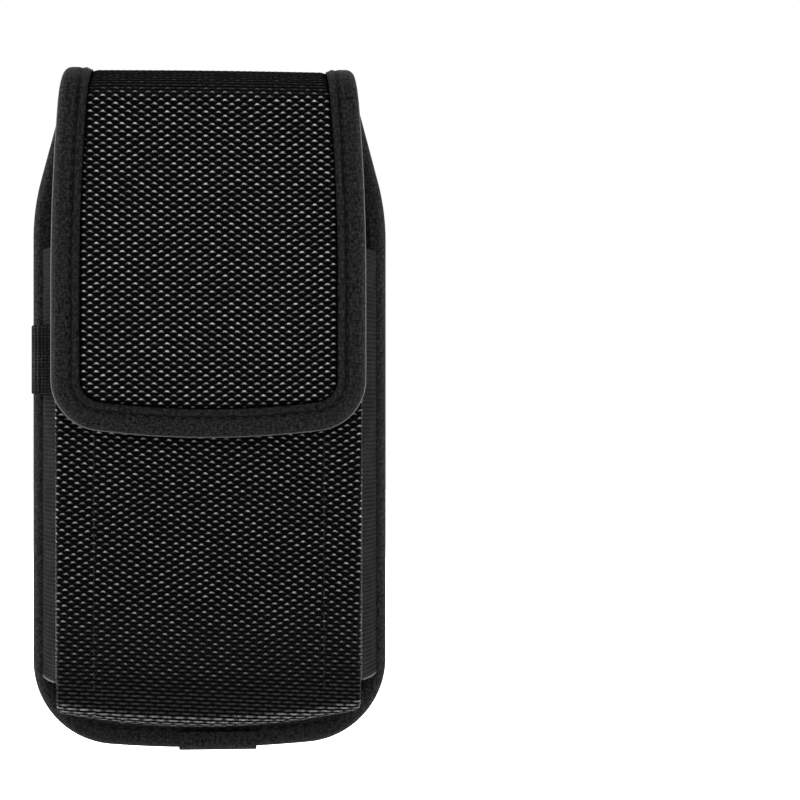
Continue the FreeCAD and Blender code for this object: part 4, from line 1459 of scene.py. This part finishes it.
        def open_back(along: np.ndarray) -> np.ndarray:
            """1 above and below the belt panel, 0 behind it."""
            return (smoothstep((along - self.belt_top + 6) / 4)
                    + 1 - smoothstep((along - self.belt_bottom - 2) / 4))

        low = np.arange(self.cloth_end, self.belt_bottom + 4, step)
        high = np.arange(self.belt_top - 6, fold_low, step)
        middle = np.linspace(low[-1], high[0], 40)[1:-1]
        flap_end = self.end - self.cloth_end
        for name, rows, fade, body, nodes in (
                ("back_cloth", np.concatenate([low, middle, high, [fold_low]]), open_back,
                 Body.HOLSTER, ["back_panel"]),
                ("fold_cloth", np.append(np.arange(fold_low, fold_high, step), fold_high),
                 np.ones_like, None, []),
                ("flap_cloth", np.append(np.arange(fold_high, flap_end, step), flap_end),
                 np.ones_like, Body.FLAP, ["flap_panel"])):
            shop.put(self.cloth(rows, weave, fade).to_object(name), SHELL_NYLON,
                     "ballistic_nylon", body, nodes)
        self.make_binding(shop)
        self.make_lining(shop)

    def make_binding(self, shop: Workshop) -> None:
        """Tape and stitches of the back, the fold and the flap.

        Args:
            shop: Takes the pieces.
        """
        fold_low, fold_high = self.fold
        back_line = self.whole_line(0.0, fold_low)
        flap_line = self.whole_line(fold_high, self.end)
        right = self.edge_line(fold_low, fold_high, self.fold_spacing)
        left = self.mirrored(right)
        for line, name, finish, body, nodes in (
                (back_line, "back_tape", TAPE, Body.HOLSTER, ["back_binding"]),
                (flap_line, "flap_tape", FLAP_TAPE, Body.FLAP, ["flap_binding"]),
                (left, "fold_tape_left", FLAP_TAPE, None, []),
                (right, "fold_tape_right", FLAP_TAPE, None, [])):
            tape, cut = self.binding(line)
            shop.put(tape.to_object(name), finish, "binding_tape", body, nodes, cut)
        for line, name, body in ((back_line, "back_stitches", Body.HOLSTER),
                                 (flap_line, "flap_stitches", Body.FLAP),
                                 (left, "fold_stitches_left", None),
                                 (right, "fold_stitches_right", None)):
            shop.put(self.stitches(line).to_object(name, outward=False), THREAD,
                     "binding_tape", body)

    def make_lining(self, shop: Workshop) -> None:
        """Lining of the back, the fold and the flap.

        Args:
            shop: Takes the pieces.
        """
        fold_low, fold_high = self.fold
        start = self.tape_width - self.lining_end
        end = self.end - self.tape_width + self.lining_end
        for low, high, name, body, nodes in (
                (start, fold_low, "back_lining_cloth", Body.HOLSTER, ["back_lining"]),
                (fold_low, fold_high, "fold_lining_cloth", None, []),
                (fold_high, end, "flap_lining_cloth", Body.FLAP, ["flap_lining"])):
            band = self.lining_band(low, high)
            shop.put(band.build().to_object(name), LINING, "lining", body, nodes,
                     band.cut(Held.LAID, "back_cloth", "flap_cloth"))


@dataclass
class Pocket:
    """Front wall, mouth tape, gussets, pen loop and closure patches."""

    fold_radius: float = 3.0
    bow_radius: float = 190.0
    foot_narrower: float = 0.7
    seam_x: float = 29.0
    seam_depth: float = 0.25
    seam_width: float = 0.6
    stitch: Stitch = Stitch()
    stitch_sink: float = 0.08
    puff: float = 0.5
    weave_turn: float = 3.0
    cloth_steady: float = 36.0
    hidden: float = 52.0
    flat_share: float = 0.25
    rib_pitch: float = 1.1
    gusset_rise: float = 2.4
    gusset_thickness: float = 1.2
    gusset_out: float = 1.4
    gusset_crown: float = 0.5
    gusset_rib: float = 0.1
    pen_loop_tuck: float = 1.2
    pen_loop_radius: float = 1.9
    pen_loop_thickness: float = 0.85
    pen_loop_rib: float = 0.06
    patch_base: float = 0.3
    pile_height: float = 0.06
    pile_samples: int = 4096

    def __post_init__(self) -> None:
        """Reads the places of the frame's nodes."""
        low, high = node_box("front_panel")
        self.half_width = high[0]
        self.face_y, self.back_y = low[1], high[1]
        self.top_z, self.bottom_z = high[2], low[2]
        self.thickness = node_box("front_lining")[0][1] - self.face_y
        self.run = self.top_z - self.bottom_z - self.fold_radius

    def bow(self, across: np.ndarray) -> np.ndarray:
        """Rise of the foot at a distance from the middle: an arc of the bow's radius."""
        return self.bow_radius - np.sqrt(self.bow_radius ** 2 - across ** 2)

    def front_surface(self, across: np.ndarray, along: np.ndarray, depth: np.ndarray) -> np.ndarray:
        """Down the front, round the fold and back under the pocket.

        The straight run shrinks with the bow, so the fold follows the bowed foot.

        Args:
            across: X.
            along: Way down from the mouth.
            depth: Depth below the outer face.

        Returns:
            Array of xyz.
        """
        radius, run = self.fold_radius, self.run
        share = np.clip(along / run, 0.0, 1.0)
        turn = np.clip((along - run) / radius, 0.0, math.pi / 2)
        beyond = np.maximum(along - run - radius * math.pi / 2, 0.0)
        y = self.face_y + radius - (radius - depth) * np.cos(turn) + beyond
        z = (self.top_z - share * (run - self.bow(across)) - (radius - depth) * np.sin(turn))
        return stacked(across, y, z)

    def front_lay(self, across: np.ndarray, along: np.ndarray) -> tuple[np.ndarray, np.ndarray]:
        """Place on the cloth: its rows are straight and a little turned, whatever the bow.

        Args:
            across: X.
            along: Way down from the mouth.

        Returns:
            Place along the weft and along the warp.
        """
        down = along - self.bow(across) * np.clip(along / self.run, 0.0, 1.0)
        turn = math.radians(self.weave_turn)
        return (across * math.cos(turn) + down * math.sin(turn),
                down * math.cos(turn) - across * math.sin(turn))

    def front_relief(self, across: np.ndarray, along: np.ndarray) -> np.ndarray:
        """Weave, soft fullness and the two upright seams.

        The fullness is 1 - s^2 across times half a sine down, and a seam is a narrow bell.

        Args:
            across: X.
            along: Way down from the mouth.

        Returns:
            Height over the plain front.
        """
        seam = self.seam_depth * np.exp(-((np.abs(across) - self.seam_x) / self.seam_width) ** 2)
        length = self.top_z - self.bottom_z
        full = self.puff * np.clip(1 - (across / self.half_width) ** 2, 0, 1)
        full = full * np.sin(math.pi * np.clip(along / length, 0, 1))
        fade = self.flat_share + (1 - self.flat_share) * smoothstep((along - self.hidden + 2) / 4)
        return Weave().relief(*self.front_lay(across, along)) * fade + full - seam

    def make(self, shop: Workshop) -> None:
        """Builds every piece of the pocket.

        Args:
            shop: Takes the pieces.
        """
        self.make_front(shop)
        self.make_seams(shop)
        self.make_lining(shop)
        self.make_mouth(shop)
        self.make_gusset(shop, -1.0, "gusset_left")
        self.make_gusset(shop, 1.0, "gusset_right")
        self.make_pen_loop(shop)
        self.make_patches(shop)

    def make_front(self, shop: Workshop) -> None:
        """Front wall with its turned-under bottom.

        Args:
            shop: Takes the piece.
        """
        weave = Weave()
        total = (self.run + self.fold_radius * math.pi / 2 + self.back_y - self.face_y
                 - self.fold_radius)
        rows = np.concatenate([np.arange(0.0, self.hidden, 1.0),
                               np.arange(self.hidden, self.run, weave.v_pitch / 4),
                               np.linspace(self.run, total, 40)])

        def half(along: np.ndarray) -> np.ndarray:
            """Half width, a little less at the foot."""
            return self.half_width - self.foot_narrower * np.clip(along / self.run, 0.0, 1.0)

        front = Band(self.front_surface, rows, half, self.thickness, weave.u_pitch / 4,
                     steady=self.cloth_steady, edge_steps=7, relief=self.front_relief,
                     lay=self.front_lay).build()
        shop.put(front.to_object("front_cloth"), FRONT_NYLON, "ballistic_nylon", Body.HOLSTER,
                 ["front_panel"])

    def make_seams(self, shop: Workshop) -> None:
        """The two upright seams of the front.

        Args:
            shop: Takes the threads.
        """
        count = int((self.run - 1.0) / self.stitch.pitch)
        middle = (np.arange(count) + 0.5) * self.stitch.pitch
        depth = self.stitch_sink - self.puff * (1 - (self.seam_x / self.half_width) ** 2) * np.sin(
            math.pi * middle / (self.top_z - self.bottom_z))
        parts = []
        for side in (-1.0, 1.0):
            across = np.full(count, side * self.seam_x)
            parts.append(self.stitch.row(
                lambda way: self.front_surface(across, middle + way, depth),
                np.array([0.0, -1.0, 0.0])))
        threads = Patchwork.joined(parts).to_object("front_stitches", outward=False)
        shop.put(threads, THREAD, "ballistic_nylon", Body.HOLSTER)

    def make_lining(self, shop: Workshop) -> None:
        """Lining inside the front wall.

        Args:
            shop: Takes the piece.
        """
        low, high = node_box("front_lining")

        def inside(across: np.ndarray, along: np.ndarray, depth: np.ndarray) -> np.ndarray:
            """Upright sheet that faces the pocket's inside."""
            return stacked(across, high[1] - depth, along)

        band = Band(inside, np.linspace(low[2], high[2], 80),
                    level_width(high[0] - (low[0] + high[0]) / 2), high[1] - low[1], 2.0,
                    edge_steps=1)
        shop.put(band.build().to_object("front_lining_cloth"), LINING, "lining", Body.HOLSTER,
                 ["front_lining"], band.cut(Held.LAID, "front_cloth"))

    def make_mouth(self, shop: Workshop) -> None:
        """Tape folded over the pocket's top edge.

        Args:
            shop: Takes the piece.
        """
        low, high = node_box("mouth_binding")
        radius = (high[1] - low[1]) / 2
        middle_y = (low[1] + high[1]) / 2
        run = high[2] - low[2] - radius
        arc = math.pi * radius

        def over(across: np.ndarray, along: np.ndarray, depth: np.ndarray) -> np.ndarray:
            """Up the outside, half a circle over the edge, and down the inside."""
            turn = np.clip((along - run) / radius, 0.0, math.pi)
            y = middle_y - (radius - depth) * np.cos(turn)
            z = (high[2] - radius + (radius - depth) * np.sin(turn)
                 + np.minimum(along - run, 0.0) - np.maximum(along - run - arc, 0.0))
            return stacked(across, y, z)

        band = Band(over, np.linspace(0.0, 2 * run + arc, 60), level_width(high[0]),
                    (self.face_y - low[1]) * 0.9, 2.0, edge_steps=3)
        shop.put(band.build().to_object("mouth_tape"), PLAIN_TAPE, "binding_tape",
                 Body.HOLSTER, ["mouth_binding"], band.cut(Held.FOLDED, "front_cloth"))

    def make_gusset(self, shop: Workshop, side: float, node: str) -> None:
        """Ribbed elastic side, bowed a little outwards.

        Args:
            shop: Takes the piece.
            side: -1 for the left side, 1 for the right.
            node: The node that it stands for.
        """
        low, high = node_box(node)
        foot = low[2] + self.gusset_rise
        inner, outer = sorted((abs(low[0]), abs(high[0])))
        start = np.array([inner + self.gusset_out, low[1]])
        end = np.array([outer, high[1]])
        width = math.dist(start, end)
        ahead = (end - start) / width
        normal = np.array([ahead[1], -ahead[0]])

        def slanted(across: np.ndarray, along: np.ndarray, depth: np.ndarray) -> np.ndarray:
            """Straight from the front wall to the back, with half a sine of bow outwards."""
            share = across / width + 0.5
            out = self.gusset_crown * np.sin(math.pi * np.clip(share, 0, 1)) - depth
            x = start[0] + ahead[0] * width * share + normal[0] * out
            y = start[1] + ahead[1] * width * share + normal[1] * out
            return stacked(side * x, y, foot + along)

        def ribs(across: np.ndarray, along: np.ndarray) -> np.ndarray:
            """Cosine ribs that fade to the edges."""
            return self.gusset_rib * ripple(along, self.rib_pitch) * np.cos(
                math.pi * across / width) ** 0.5

        strip = Band(slanted, np.arange(0.0, high[2] - foot, self.rib_pitch / 6),
                     level_width(width / 2), self.gusset_thickness, 0.5, relief=ribs,
                     edge_steps=3)
        shop.put(strip.build().to_object(node + "_elastic"), ELASTIC, "elastic_webbing",
                 Body.HOLSTER, [node], strip.cut(Held.STRETCHED, "front_cloth", "back_tape"))

    def make_pen_loop(self, shop: Workshop) -> None:
        """Elastic loop: out from the binding, forward and back in to the gusset.

        Args:
            shop: Takes the piece.
        """
        low, high = node_box("pen_loop")
        radius = self.pen_loop_radius
        outer = -low[0] - self.pen_loop_tuck
        inner_back = -node_box("gusset_left")[0][0] + 0.1
        inner_front = -high[0] + 0.2
        second = high[1] - low[1] - 2 * radius
        third = outer - radius - inner_front
        bend = radius * math.pi / 2
        stops = np.cumsum([outer - radius - inner_back, bend, second, bend, third])

        def loop(across: np.ndarray, along: np.ndarray, depth: np.ndarray) -> np.ndarray:
            """Three straight runs with a quarter circle between each two."""
            turn = (np.clip((along - stops[0]) / radius, 0, math.pi / 2)
                    + np.clip((along - stops[2]) / radius, 0, math.pi / 2))
            run = (np.clip(along, 0, stops[0]), np.clip(along - stops[1], 0, second),
                   np.clip(along - stops[3], 0, third))
            x = inner_back + run[0] + radius * np.sin(turn) - run[2] - depth * np.sin(turn)
            y = high[1] - radius + (radius - depth) * np.cos(turn) - run[1]
            return stacked(-x, y, across)

        def ribs(_: np.ndarray, along: np.ndarray) -> np.ndarray:
            """Cosine ribs across the loop."""
            return self.pen_loop_rib * ripple(along, self.rib_pitch)

        band = Band(loop, np.arange(0.0, stops[-1], 0.18), level_width((high[2] - low[2]) / 2),
                    self.pen_loop_thickness, 0.5, edge_steps=3, centre=(high[2] + low[2]) / 2,
                    relief=ribs)
        shop.put(band.build().to_object("pen_loop_elastic"), WEBBING, "elastic_webbing",
                 Body.HOLSTER, ["pen_loop"], band.cut(Held.FOLDED, "back_tape", "front_cloth"))

    def make_patches(self, shop: Workshop) -> None:
        """Loop patch on the front wall and hook patch in the flap.

        Args:
            shop: Takes the pieces.
        """
        random = np.random.default_rng(7)
        for node, name, finish, slot, body, carrier, out in (
                ("loop_patch", "loop_pile_patch", LOOPS, "loop_tape", Body.HOLSTER,
                 "front_cloth", -1.0),
                ("hook_patch", "hook_tape_patch", HOOKS, "hook_tape", Body.FLAP,
                 "flap_lining_cloth", 1.0)):
            low, high = node_box(node)
            face = low[1] if out < 0 else high[1]
            rough = random.normal(0.0, self.pile_height, self.pile_samples)

            def sheet(across: np.ndarray, along: np.ndarray, depth: np.ndarray) -> np.ndarray:
                """Upright sheet, its pile within the node's thickness."""
                return stacked(across, face - out * (depth + 0.25), along)

            def pile(across: np.ndarray, along: np.ndarray) -> np.ndarray:
                """A random height for each place, found by a mixed whole number."""
                key = (np.round(across * 7.3) * 31 + np.round(along * 5.7) * 17).astype(int)
                return rough[key % self.pile_samples]

            patch = Band(sheet, np.arange(low[2], high[2], 0.5), level_width(high[0]),
                         high[1] - low[1] - self.patch_base, 0.5, relief=pile, edge_steps=2)
            shop.put(patch.build().to_object(name), finish, slot, body, [node],
                     patch.cut(Held.LAID, carrier))


@dataclass
class BeltLoops:
    """Wide panel and centre strap on the back, with the tab of the D-ring."""

    panel_foot: float = 1.2
    panel_slope: float = 10.6
    panel_lap: float = 0.2
    covered: tuple[float, float] = (1.0, 23.0)
    gap: float = 4.4
    strap_seam: float = 8.0
    strap_slope: float = 15.0
    seam_rows: tuple[float, float] = (2.0, 6.5)
    seam_ends: float = 3.0
    stitch: Stitch = Stitch()
    stitch_rise: float = 0.02
    tab_margin: float = 1.6
    tab_height: float = 1.8
    tab_thickness: float = 0.85
    bar_hole: float = 1.24
    tab_pinch: float = 35.0
    tab_rib: float = 0.04
    tab_rib_pitch: float = 0.9
    leg_offset: float = 0.9

    def __post_init__(self) -> None:
        """Reads the places of the frame's nodes."""
        self.panel_low, self.panel_high = node_box("belt_panel")
        self.strap_low, self.strap_high = node_box("belt_strap")
        self.tab_low, self.tab_high = node_box("ring_tab")
        self.back_y = node_box("back_panel")[1][1]
        self.panel_thickness = self.panel_high[1] - self.back_y - self.gap
        self.strap_thickness = self.strap_high[1] - self.panel_high[1] - self.gap
        self.strap_centre = (self.strap_low[0] + self.strap_high[0]) / 2
        self.strap_half = (self.strap_high[0] - self.strap_low[0]) / 2
        self.tab_centre = (self.tab_low[0] + self.tab_high[0]) / 2
        self.tab_half = (self.tab_high[0] - self.tab_low[0]) / 2

    def panel_rise(self, across: np.ndarray) -> np.ndarray:
        """Height of the wide panel's under side: level, then half a cosine down to each side."""
        reach = self.panel_high[0] - self.panel_foot
        return self.gap * half_cosine((reach - np.abs(across)) / self.panel_slope)

    def panel_surface(self, across: np.ndarray, along: np.ndarray, depth: np.ndarray) -> np.ndarray:
        """Outer face of the wide panel."""
        y = self.back_y + self.panel_rise(across) + self.panel_thickness - depth
        return stacked(across, y, along)

    def strap_rise(self, across: np.ndarray, along: np.ndarray) -> np.ndarray:
        """Height of the strap's under side over the wide panel.

        Sewn down at both ends, half a cosine up to the level middle, and raised over the tab.

        Args:
            across: X.
            along: Z.

        Returns:
            The height.
        """
        low, high = self.strap_low[2] + self.strap_seam, self.strap_high[2] - self.strap_seam
        roof = self.gap * half_cosine(np.minimum(along - low, high - along) / self.strap_slope)
        margin = self.tab_margin
        tab = (smoothstep((self.tab_half + margin - np.abs(across - self.tab_centre)) / margin)
               * smoothstep((along - self.tab_low[2] + margin) / margin) * self.tab_height)
        return np.maximum(roof, tab)

    def strap_surface(self, across: np.ndarray, along: np.ndarray, depth: np.ndarray) -> np.ndarray:
        """Outer face of the strap."""
        y = self.panel_high[1] + self.strap_rise(across, along) + self.strap_thickness - depth
        return stacked(across, y, along)

    def make(self, shop: Workshop) -> None:
        """Builds the panel, the strap, their stitches and the tab.

        Args:
            shop: Takes the pieces.
        """
        panel_weave, strap_weave = PANEL_NYLON.weave, STRAP_NYLON.weave

        def panel_relief(across: np.ndarray, along: np.ndarray) -> np.ndarray:
            """Weave with its weft upright, plain where the strap covers it."""
            middle, half = self.covered
            return panel_weave.relief(along, across) * smoothstep(
                (np.abs(across - middle) - half) / 2)

        def strap_relief(across: np.ndarray, along: np.ndarray) -> np.ndarray:
            """Weave with its weft upright."""
            return strap_weave.relief(along, across)

        rows = np.arange(self.panel_low[2], self.panel_high[2], panel_weave.u_pitch / 4)
        panel = Band(self.panel_surface, rows, level_width(self.panel_high[0] + self.panel_lap),
                     self.panel_thickness, panel_weave.v_pitch / 3, relief=panel_relief)
        shop.put(panel.build().to_object("belt_panel_cloth"), PANEL_NYLON, "ballistic_nylon",
                 Body.HOLSTER, ["belt_panel"], panel.cut(Held.STRETCHED, "back_cloth"))
        rows = np.arange(self.strap_low[2], self.strap_high[2], strap_weave.u_pitch / 4)
        strap = Band(self.strap_surface, rows, level_width(self.strap_half),
                     self.strap_thickness, strap_weave.v_pitch / 4, edge_steps=7,
                     centre=self.strap_centre, relief=strap_relief)
        shop.put(strap.build().to_object("belt_strap_cloth"), STRAP_NYLON, "ballistic_nylon",
                 Body.HOLSTER, ["belt_strap"], strap.cut(Held.STRETCHED, "belt_panel_cloth"))
        self.make_stitches(shop)
        self.make_tab(shop)

    def make_stitches(self, shop: Workshop) -> None:
        """Two seams across each end of the strap.

        Args:
            shop: Takes the threads.
        """
        count = int((2 * self.strap_half - self.seam_ends) / self.stitch.pitch)
        middle = self.strap_centre + (np.arange(count) - (count - 1) / 2) * self.stitch.pitch
        depth = np.full(count, -self.stitch_rise)
        heights = ([self.strap_low[2] + row for row in self.seam_rows]
                   + [self.strap_high[2] - row for row in self.seam_rows])
        parts = []
        for height in heights:
            along = np.full(count, height)
            parts.append(self.stitch.row(
                lambda way: self.strap_surface(middle + way, along, depth),
                np.array([0.0, 1.0, 0.0])))
        threads = Patchwork.joined(parts).to_object("strap_stitches", outward=False)
        shop.put(threads, THREAD, "ballistic_nylon", Body.HOLSTER)

    def make_tab(self, shop: Workshop) -> None:
        """Webbing round the ring's bar: up, round the bar and down again.

        Args:
            shop: Takes the piece.
        """
        low, high = self.tab_low, self.tab_high
        eye = (high[1] - low[1]) / 2
        bar_y, bar_z = high[1] - eye, high[2] - eye
        radius = self.bar_hole + self.tab_thickness
        pinch = math.radians(self.tab_pinch)
        run = bar_z - low[2] - radius * 1.2
        arc = radius * (2 * math.pi - 2 * pinch)
        total = 2 * run + arc

        def wrap(across: np.ndarray, along: np.ndarray, depth: np.ndarray) -> np.ndarray:
            """A circle round the bar, drawn smoothly into two flat legs below it."""
            turn = pinch + np.clip((along - run) / radius, 0.0, 2 * math.pi - 2 * pinch)
            ring_y = bar_y - (radius - depth) * np.sin(turn)
            ring_z = bar_z - (radius - depth) * np.cos(turn)
            before = np.clip((run - along) / run, 0.0, 1.0)
            after = np.clip((along - run - arc) / run, 0.0, 1.0)
            share = smoothstep(np.maximum(before, after) * 3.0)
            leg = np.where(along < total / 2, depth - self.leg_offset, self.leg_offset - depth)
            y = ring_y * (1 - share) + (bar_y + leg) * share
            z = ring_z + (low[2] + 0.2 - ring_z) * np.maximum(before, after)
            return stacked(across, y, z)

        def ribs(_: np.ndarray, along: np.ndarray) -> np.ndarray:
            """Cosine ribs across the webbing."""
            return self.tab_rib * ripple(along, self.tab_rib_pitch)

        band = Band(wrap, np.linspace(0.0, total, 120), level_width(self.tab_half),
                    self.tab_thickness, 0.6, edge_steps=3, centre=self.tab_centre, relief=ribs)
        shop.put(band.build().to_object("ring_tab_webbing"), WEBBING, "webbing", Body.HOLSTER,
                 ["ring_tab"], band.cut(Held.FOLDED, "d_ring"))


@dataclass
class FootTab:
    """Short tape over the binding's ends at the bottom."""

    thickness: float = 0.5
    clear: float = 0.1

    def make(self, shop: Workshop) -> None:
        """U round the bottom edge.

        Args:
            shop: Takes the piece.
        """
        low, high = node_box("bottom_tab")
        radius = (high[1] - low[1]) / 2 + self.clear
        middle_y = (low[1] + high[1]) / 2
        centre_z = low[2] - self.clear + radius
        run = high[2] - centre_z
        arc = math.pi * radius

        def under(across: np.ndarray, along: np.ndarray, depth: np.ndarray) -> np.ndarray:
            """Down the back, half a circle under the edge, and up the front."""
            turn = np.clip((along - run) / radius, 0.0, math.pi)
            y = middle_y + (radius - depth) * np.cos(turn)
            z = (centre_z - (radius - depth) * np.sin(turn) + np.maximum(run - along, 0.0)
                 + np.maximum(along - run - arc, 0.0))
            return stacked(across, y, z)

        band = Band(under, np.linspace(0.0, 2 * run + arc, 40),
                    level_width((high[0] - low[0]) / 2), self.thickness, 1.0,
                    centre=(high[0] + low[0]) / 2, edge_steps=3)
        shop.put(band.build().to_object("foot_tab_tape"), PLAIN_TAPE, "binding_tape",
                 Body.HOLSTER, ["bottom_tab"], band.cut(Held.FOLDED, "back_tape"))


@dataclass(frozen=True)
class Hardware:
    """Finishes of the ring and the carabiner, whose shapes come from the frame."""

    finishes: tuple[tuple[str, Finish], ...] = (
        ("d_ring", NICKEL), ("carabiner_body", ANODISED), ("carabiner_gate", BRIGHT),
        ("gate_rivet", STEEL), ("latch_pin", STEEL), ("gate_spring", STEEL),
        ("spring_pusher", STEEL))

    def dress(self) -> None:
        """Gives each node its finish."""
        for node, finish in self.finishes:
            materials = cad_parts[node].data.materials
            materials.clear()
            materials.append(finish.material())
            LOG.info("%s dressed", node)


@dataclass(frozen=True)
class Lamp:
    """Rectangular soft lamp aimed at the middle of the holster.

    Its place, width and height are in metres, its power in watts. `mirrored` says whether it
    shows in polished surfaces.
    """

    name: str
    place: tuple[float, float, float]
    size: tuple[float, float]
    power: float
    mirrored: bool = True

    def make(self) -> None:
        """Puts the lamp in the scene."""
        data = bpy.data.lights.new(self.name, "AREA")
        data.shape = "RECTANGLE"
        data.size, data.size_y = self.size
        data.energy = self.power
        lamp = bpy.data.objects.new(self.name, data)
        lamp.location = self.place
        lamp.visible_glossy = self.mirrored
        aim = -np.array(self.place)
        lamp.rotation_euler = (math.atan2(math.hypot(aim[0], aim[1]), -aim[2]), 0.0,
                               math.atan2(aim[1], aim[0]) - math.pi / 2)
        bpy.context.scene.collection.objects.link(lamp)


@dataclass
class Studio:
    """Camera, lamps, floor and surroundings.

    The camera stands `distance` from the back wall, where one pixel of the picture is `scale`
    wide, and puts the holster's middle in `object_column`.
    """

    distance: float = 560.0
    aside: float = 8.5
    scale: float = 0.2638
    picture: float = 800.0
    object_column: float = 210.7
    axis_height: float = 8.8
    sensor: float = 36.0
    floor_drop: float = 60.0
    floor_half: float = 3000.0
    pale: float = 0.9
    ambient: float = 0.3
    near_glow: float = 0.75
    glow_range: tuple[float, float] = (0.3, 1.2)
    card_half: float = 720.0
    card_depth: float = 1400.0
    card_level: float = 0.002
    lamps: tuple[Lamp, ...] = (
        Lamp("key_front", (0.1, -1.35, 0.6), (0.9, 0.7), 17.0, mirrored=False),
        Lamp("key_back", (0.1, 1.35, 0.6), (0.9, 0.7), 17.0, mirrored=False),
        Lamp("strip_left", (-0.78, 0.0, 0.05), (0.15, 0.8), 19.0),
        Lamp("strip_right", (0.78, 0.0, 0.05), (0.12, 0.8), 12.0),
        Lamp("overhead", (0.0, 0.0, 1.2), (0.6, 0.6), 3.0))

    def camera(self) -> None:
        """Level camera a little to the right, turned so that the holster stands left."""
        focal = self.distance / self.scale
        data = bpy.data.cameras.new("camera")
        data.sensor_width = self.sensor
        data.lens = self.sensor * focal / self.picture
        data.clip_start, data.clip_end = 0.01, 20.0
        camera = bpy.data.objects.new("camera", data)
        back_y = node_box("back_panel")[1][1]
        camera.location = (self.aside * MM, (back_y - self.distance) * MM,
                           self.axis_height * MM)
        pan = (math.atan((self.picture / 2 - self.object_column) / focal)
               - math.atan(self.aside / self.distance))
        camera.rotation_euler = (math.pi / 2, 0.0, -pan)
        bpy.context.scene.collection.objects.link(camera)
        bpy.context.scene.camera = camera

    def surroundings(self) -> None:
        """World that is white to the camera and to mirrors, and dimmer as a light."""
        world = bpy.data.worlds.new("studio")
        bpy.context.scene.world = world
        world.use_nodes = True
        nodes = Nodes(world.node_tree)
        background = world.node_tree.nodes["Background"]
        background.inputs["Color"].default_value = grey(1.0)
        nodes.plug(background.inputs["Strength"],
                   self.seen_or_mirrored(nodes) * (1 - self.ambient) + self.ambient)

    @staticmethod
    def seen_or_mirrored(nodes: Nodes) -> Wire:
        """1 for rays from the camera, off polished surfaces and through clear ones.

        Args:
            nodes: The tree's nodes.

        Returns:
            1 or 0.
        """
        path = nodes.tree.nodes.new("ShaderNodeLightPath")
        seen, clear, mirrored = (Wire(nodes.tree, path.outputs[name]) for name in (
            "Is Camera Ray", "Is Transmission Ray", "Is Glossy Ray"))
        return seen.larger(clear).larger(mirrored)

    @staticmethod
    def square(name: str, half: float, axis: int, offset: float) -> bpy.types.Object:
        """Flat square for the stage, centred on the frame's middle.

        Args:
            name: Its name.
            half: Half its side.
            axis: The axis that it is square to, 1 for y and 2 for z.
            offset: Its place on that axis.

        Returns:
            The object.
        """
        flat = half * np.array([[-1.0, -1.0], [1.0, -1.0], [1.0, 1.0], [-1.0, 1.0]])
        corners = np.insert(flat, axis, offset, axis=1)
        return Patchwork(corners, flat, flat * 0.0, np.array([[0, 1, 2, 3]]),
                         []).to_object(name, outward=False)

    def floor(self) -> None:
        """Pale floor well below the hanging holster, white to the camera far from it."""
        low = node_box("back_binding")[0][2] - self.floor_drop
        floor = self.square("floor", self.floor_half, 2, low)
        material, nodes, plain = new_material("pale_floor")
        tree = material.node_tree
        glowing = tree.nodes.new("ShaderNodeBsdfPrincipled")
        for shader in (plain, glowing):
            shader.inputs["Base Color"].default_value = grey(self.pale)
            shader.inputs["Roughness"].default_value = 0.9
            shader.inputs["Specular IOR Level"].default_value = 0.0
        away = nodes.add("ShaderNodeVectorMath", {"operation": "LENGTH"}, nodes.solid_place(),
                         output="Value")
        nodes.plug(glowing.inputs["Emission Color"],
                   nodes.mixed(away.ramp(*self.glow_range), grey(self.near_glow), grey(1.0)))
        glowing.inputs["Emission Strength"].default_value = 1.0
        blend = tree.nodes.new("ShaderNodeMixShader")
        nodes.plug(blend.inputs[0], self.seen_or_mirrored(nodes))
        tree.links.new(plain.outputs[0], blend.inputs[1])
        tree.links.new(glowing.outputs[0], blend.inputs[2])
        tree.links.new(blend.outputs[0], tree.nodes["Material Output"].inputs[0])
        floor.data.materials.append(material)

    def dark_card(self, name: str, depth: float) -> None:
        """Black upright card that only polished metal shows.

        Args:
            name: Its name.
            depth: Where it stands along y.
        """
        card = self.square(name, self.card_half, 1, depth)
        material, _, black = new_material(name + "_black")
        black.inputs["Base Color"].default_value = grey(self.card_level)
        black.inputs["Specular IOR Level"].default_value = 0.0
        card.data.materials.append(material)
        card.visible_camera = card.visible_diffuse = card.visible_shadow = False
        card.visible_transmission = False

    def make(self) -> None:
        """Builds the studio."""
        self.camera()
        self.floor()
        self.dark_card("card_front", -self.card_depth)
        self.dark_card("card_back", self.card_depth)
        self.surroundings()
        for lamp in self.lamps:
            lamp.make()
        bpy.context.scene.view_settings.view_transform = "Standard"


def main() -> None:
    """Builds the holster's looks round the frame."""
    logging.basicConfig(level=logging.INFO, format="%(message)s")
    back_y = node_box("back_panel")[1][1]
    flap_low, flap_high = node_box("flap_panel")
    bottom = node_box("back_binding")[0][2]
    surface = ShellSurface(back_y, flap_low[1], bottom, flap_high[2] - bottom)
    shell = Shell(surface)
    inner = surface.point(np.array(0.0), np.array(shell.fold[1]),
                          np.array(shell.thickness + shell.tape))
    shop = Workshop((0.0, back_y * MM, (bottom + shell.fold[0]) * MM),
                    (0.0, back_y * MM, float(inner[2]) * MM))
    shell.make(shop)
    Pocket().make(shop)
    BeltLoops().make(shop)
    FootTab().make(shop)
    Hardware().dress()
    Studio().make()


if __name__ == "__main__":
    main()
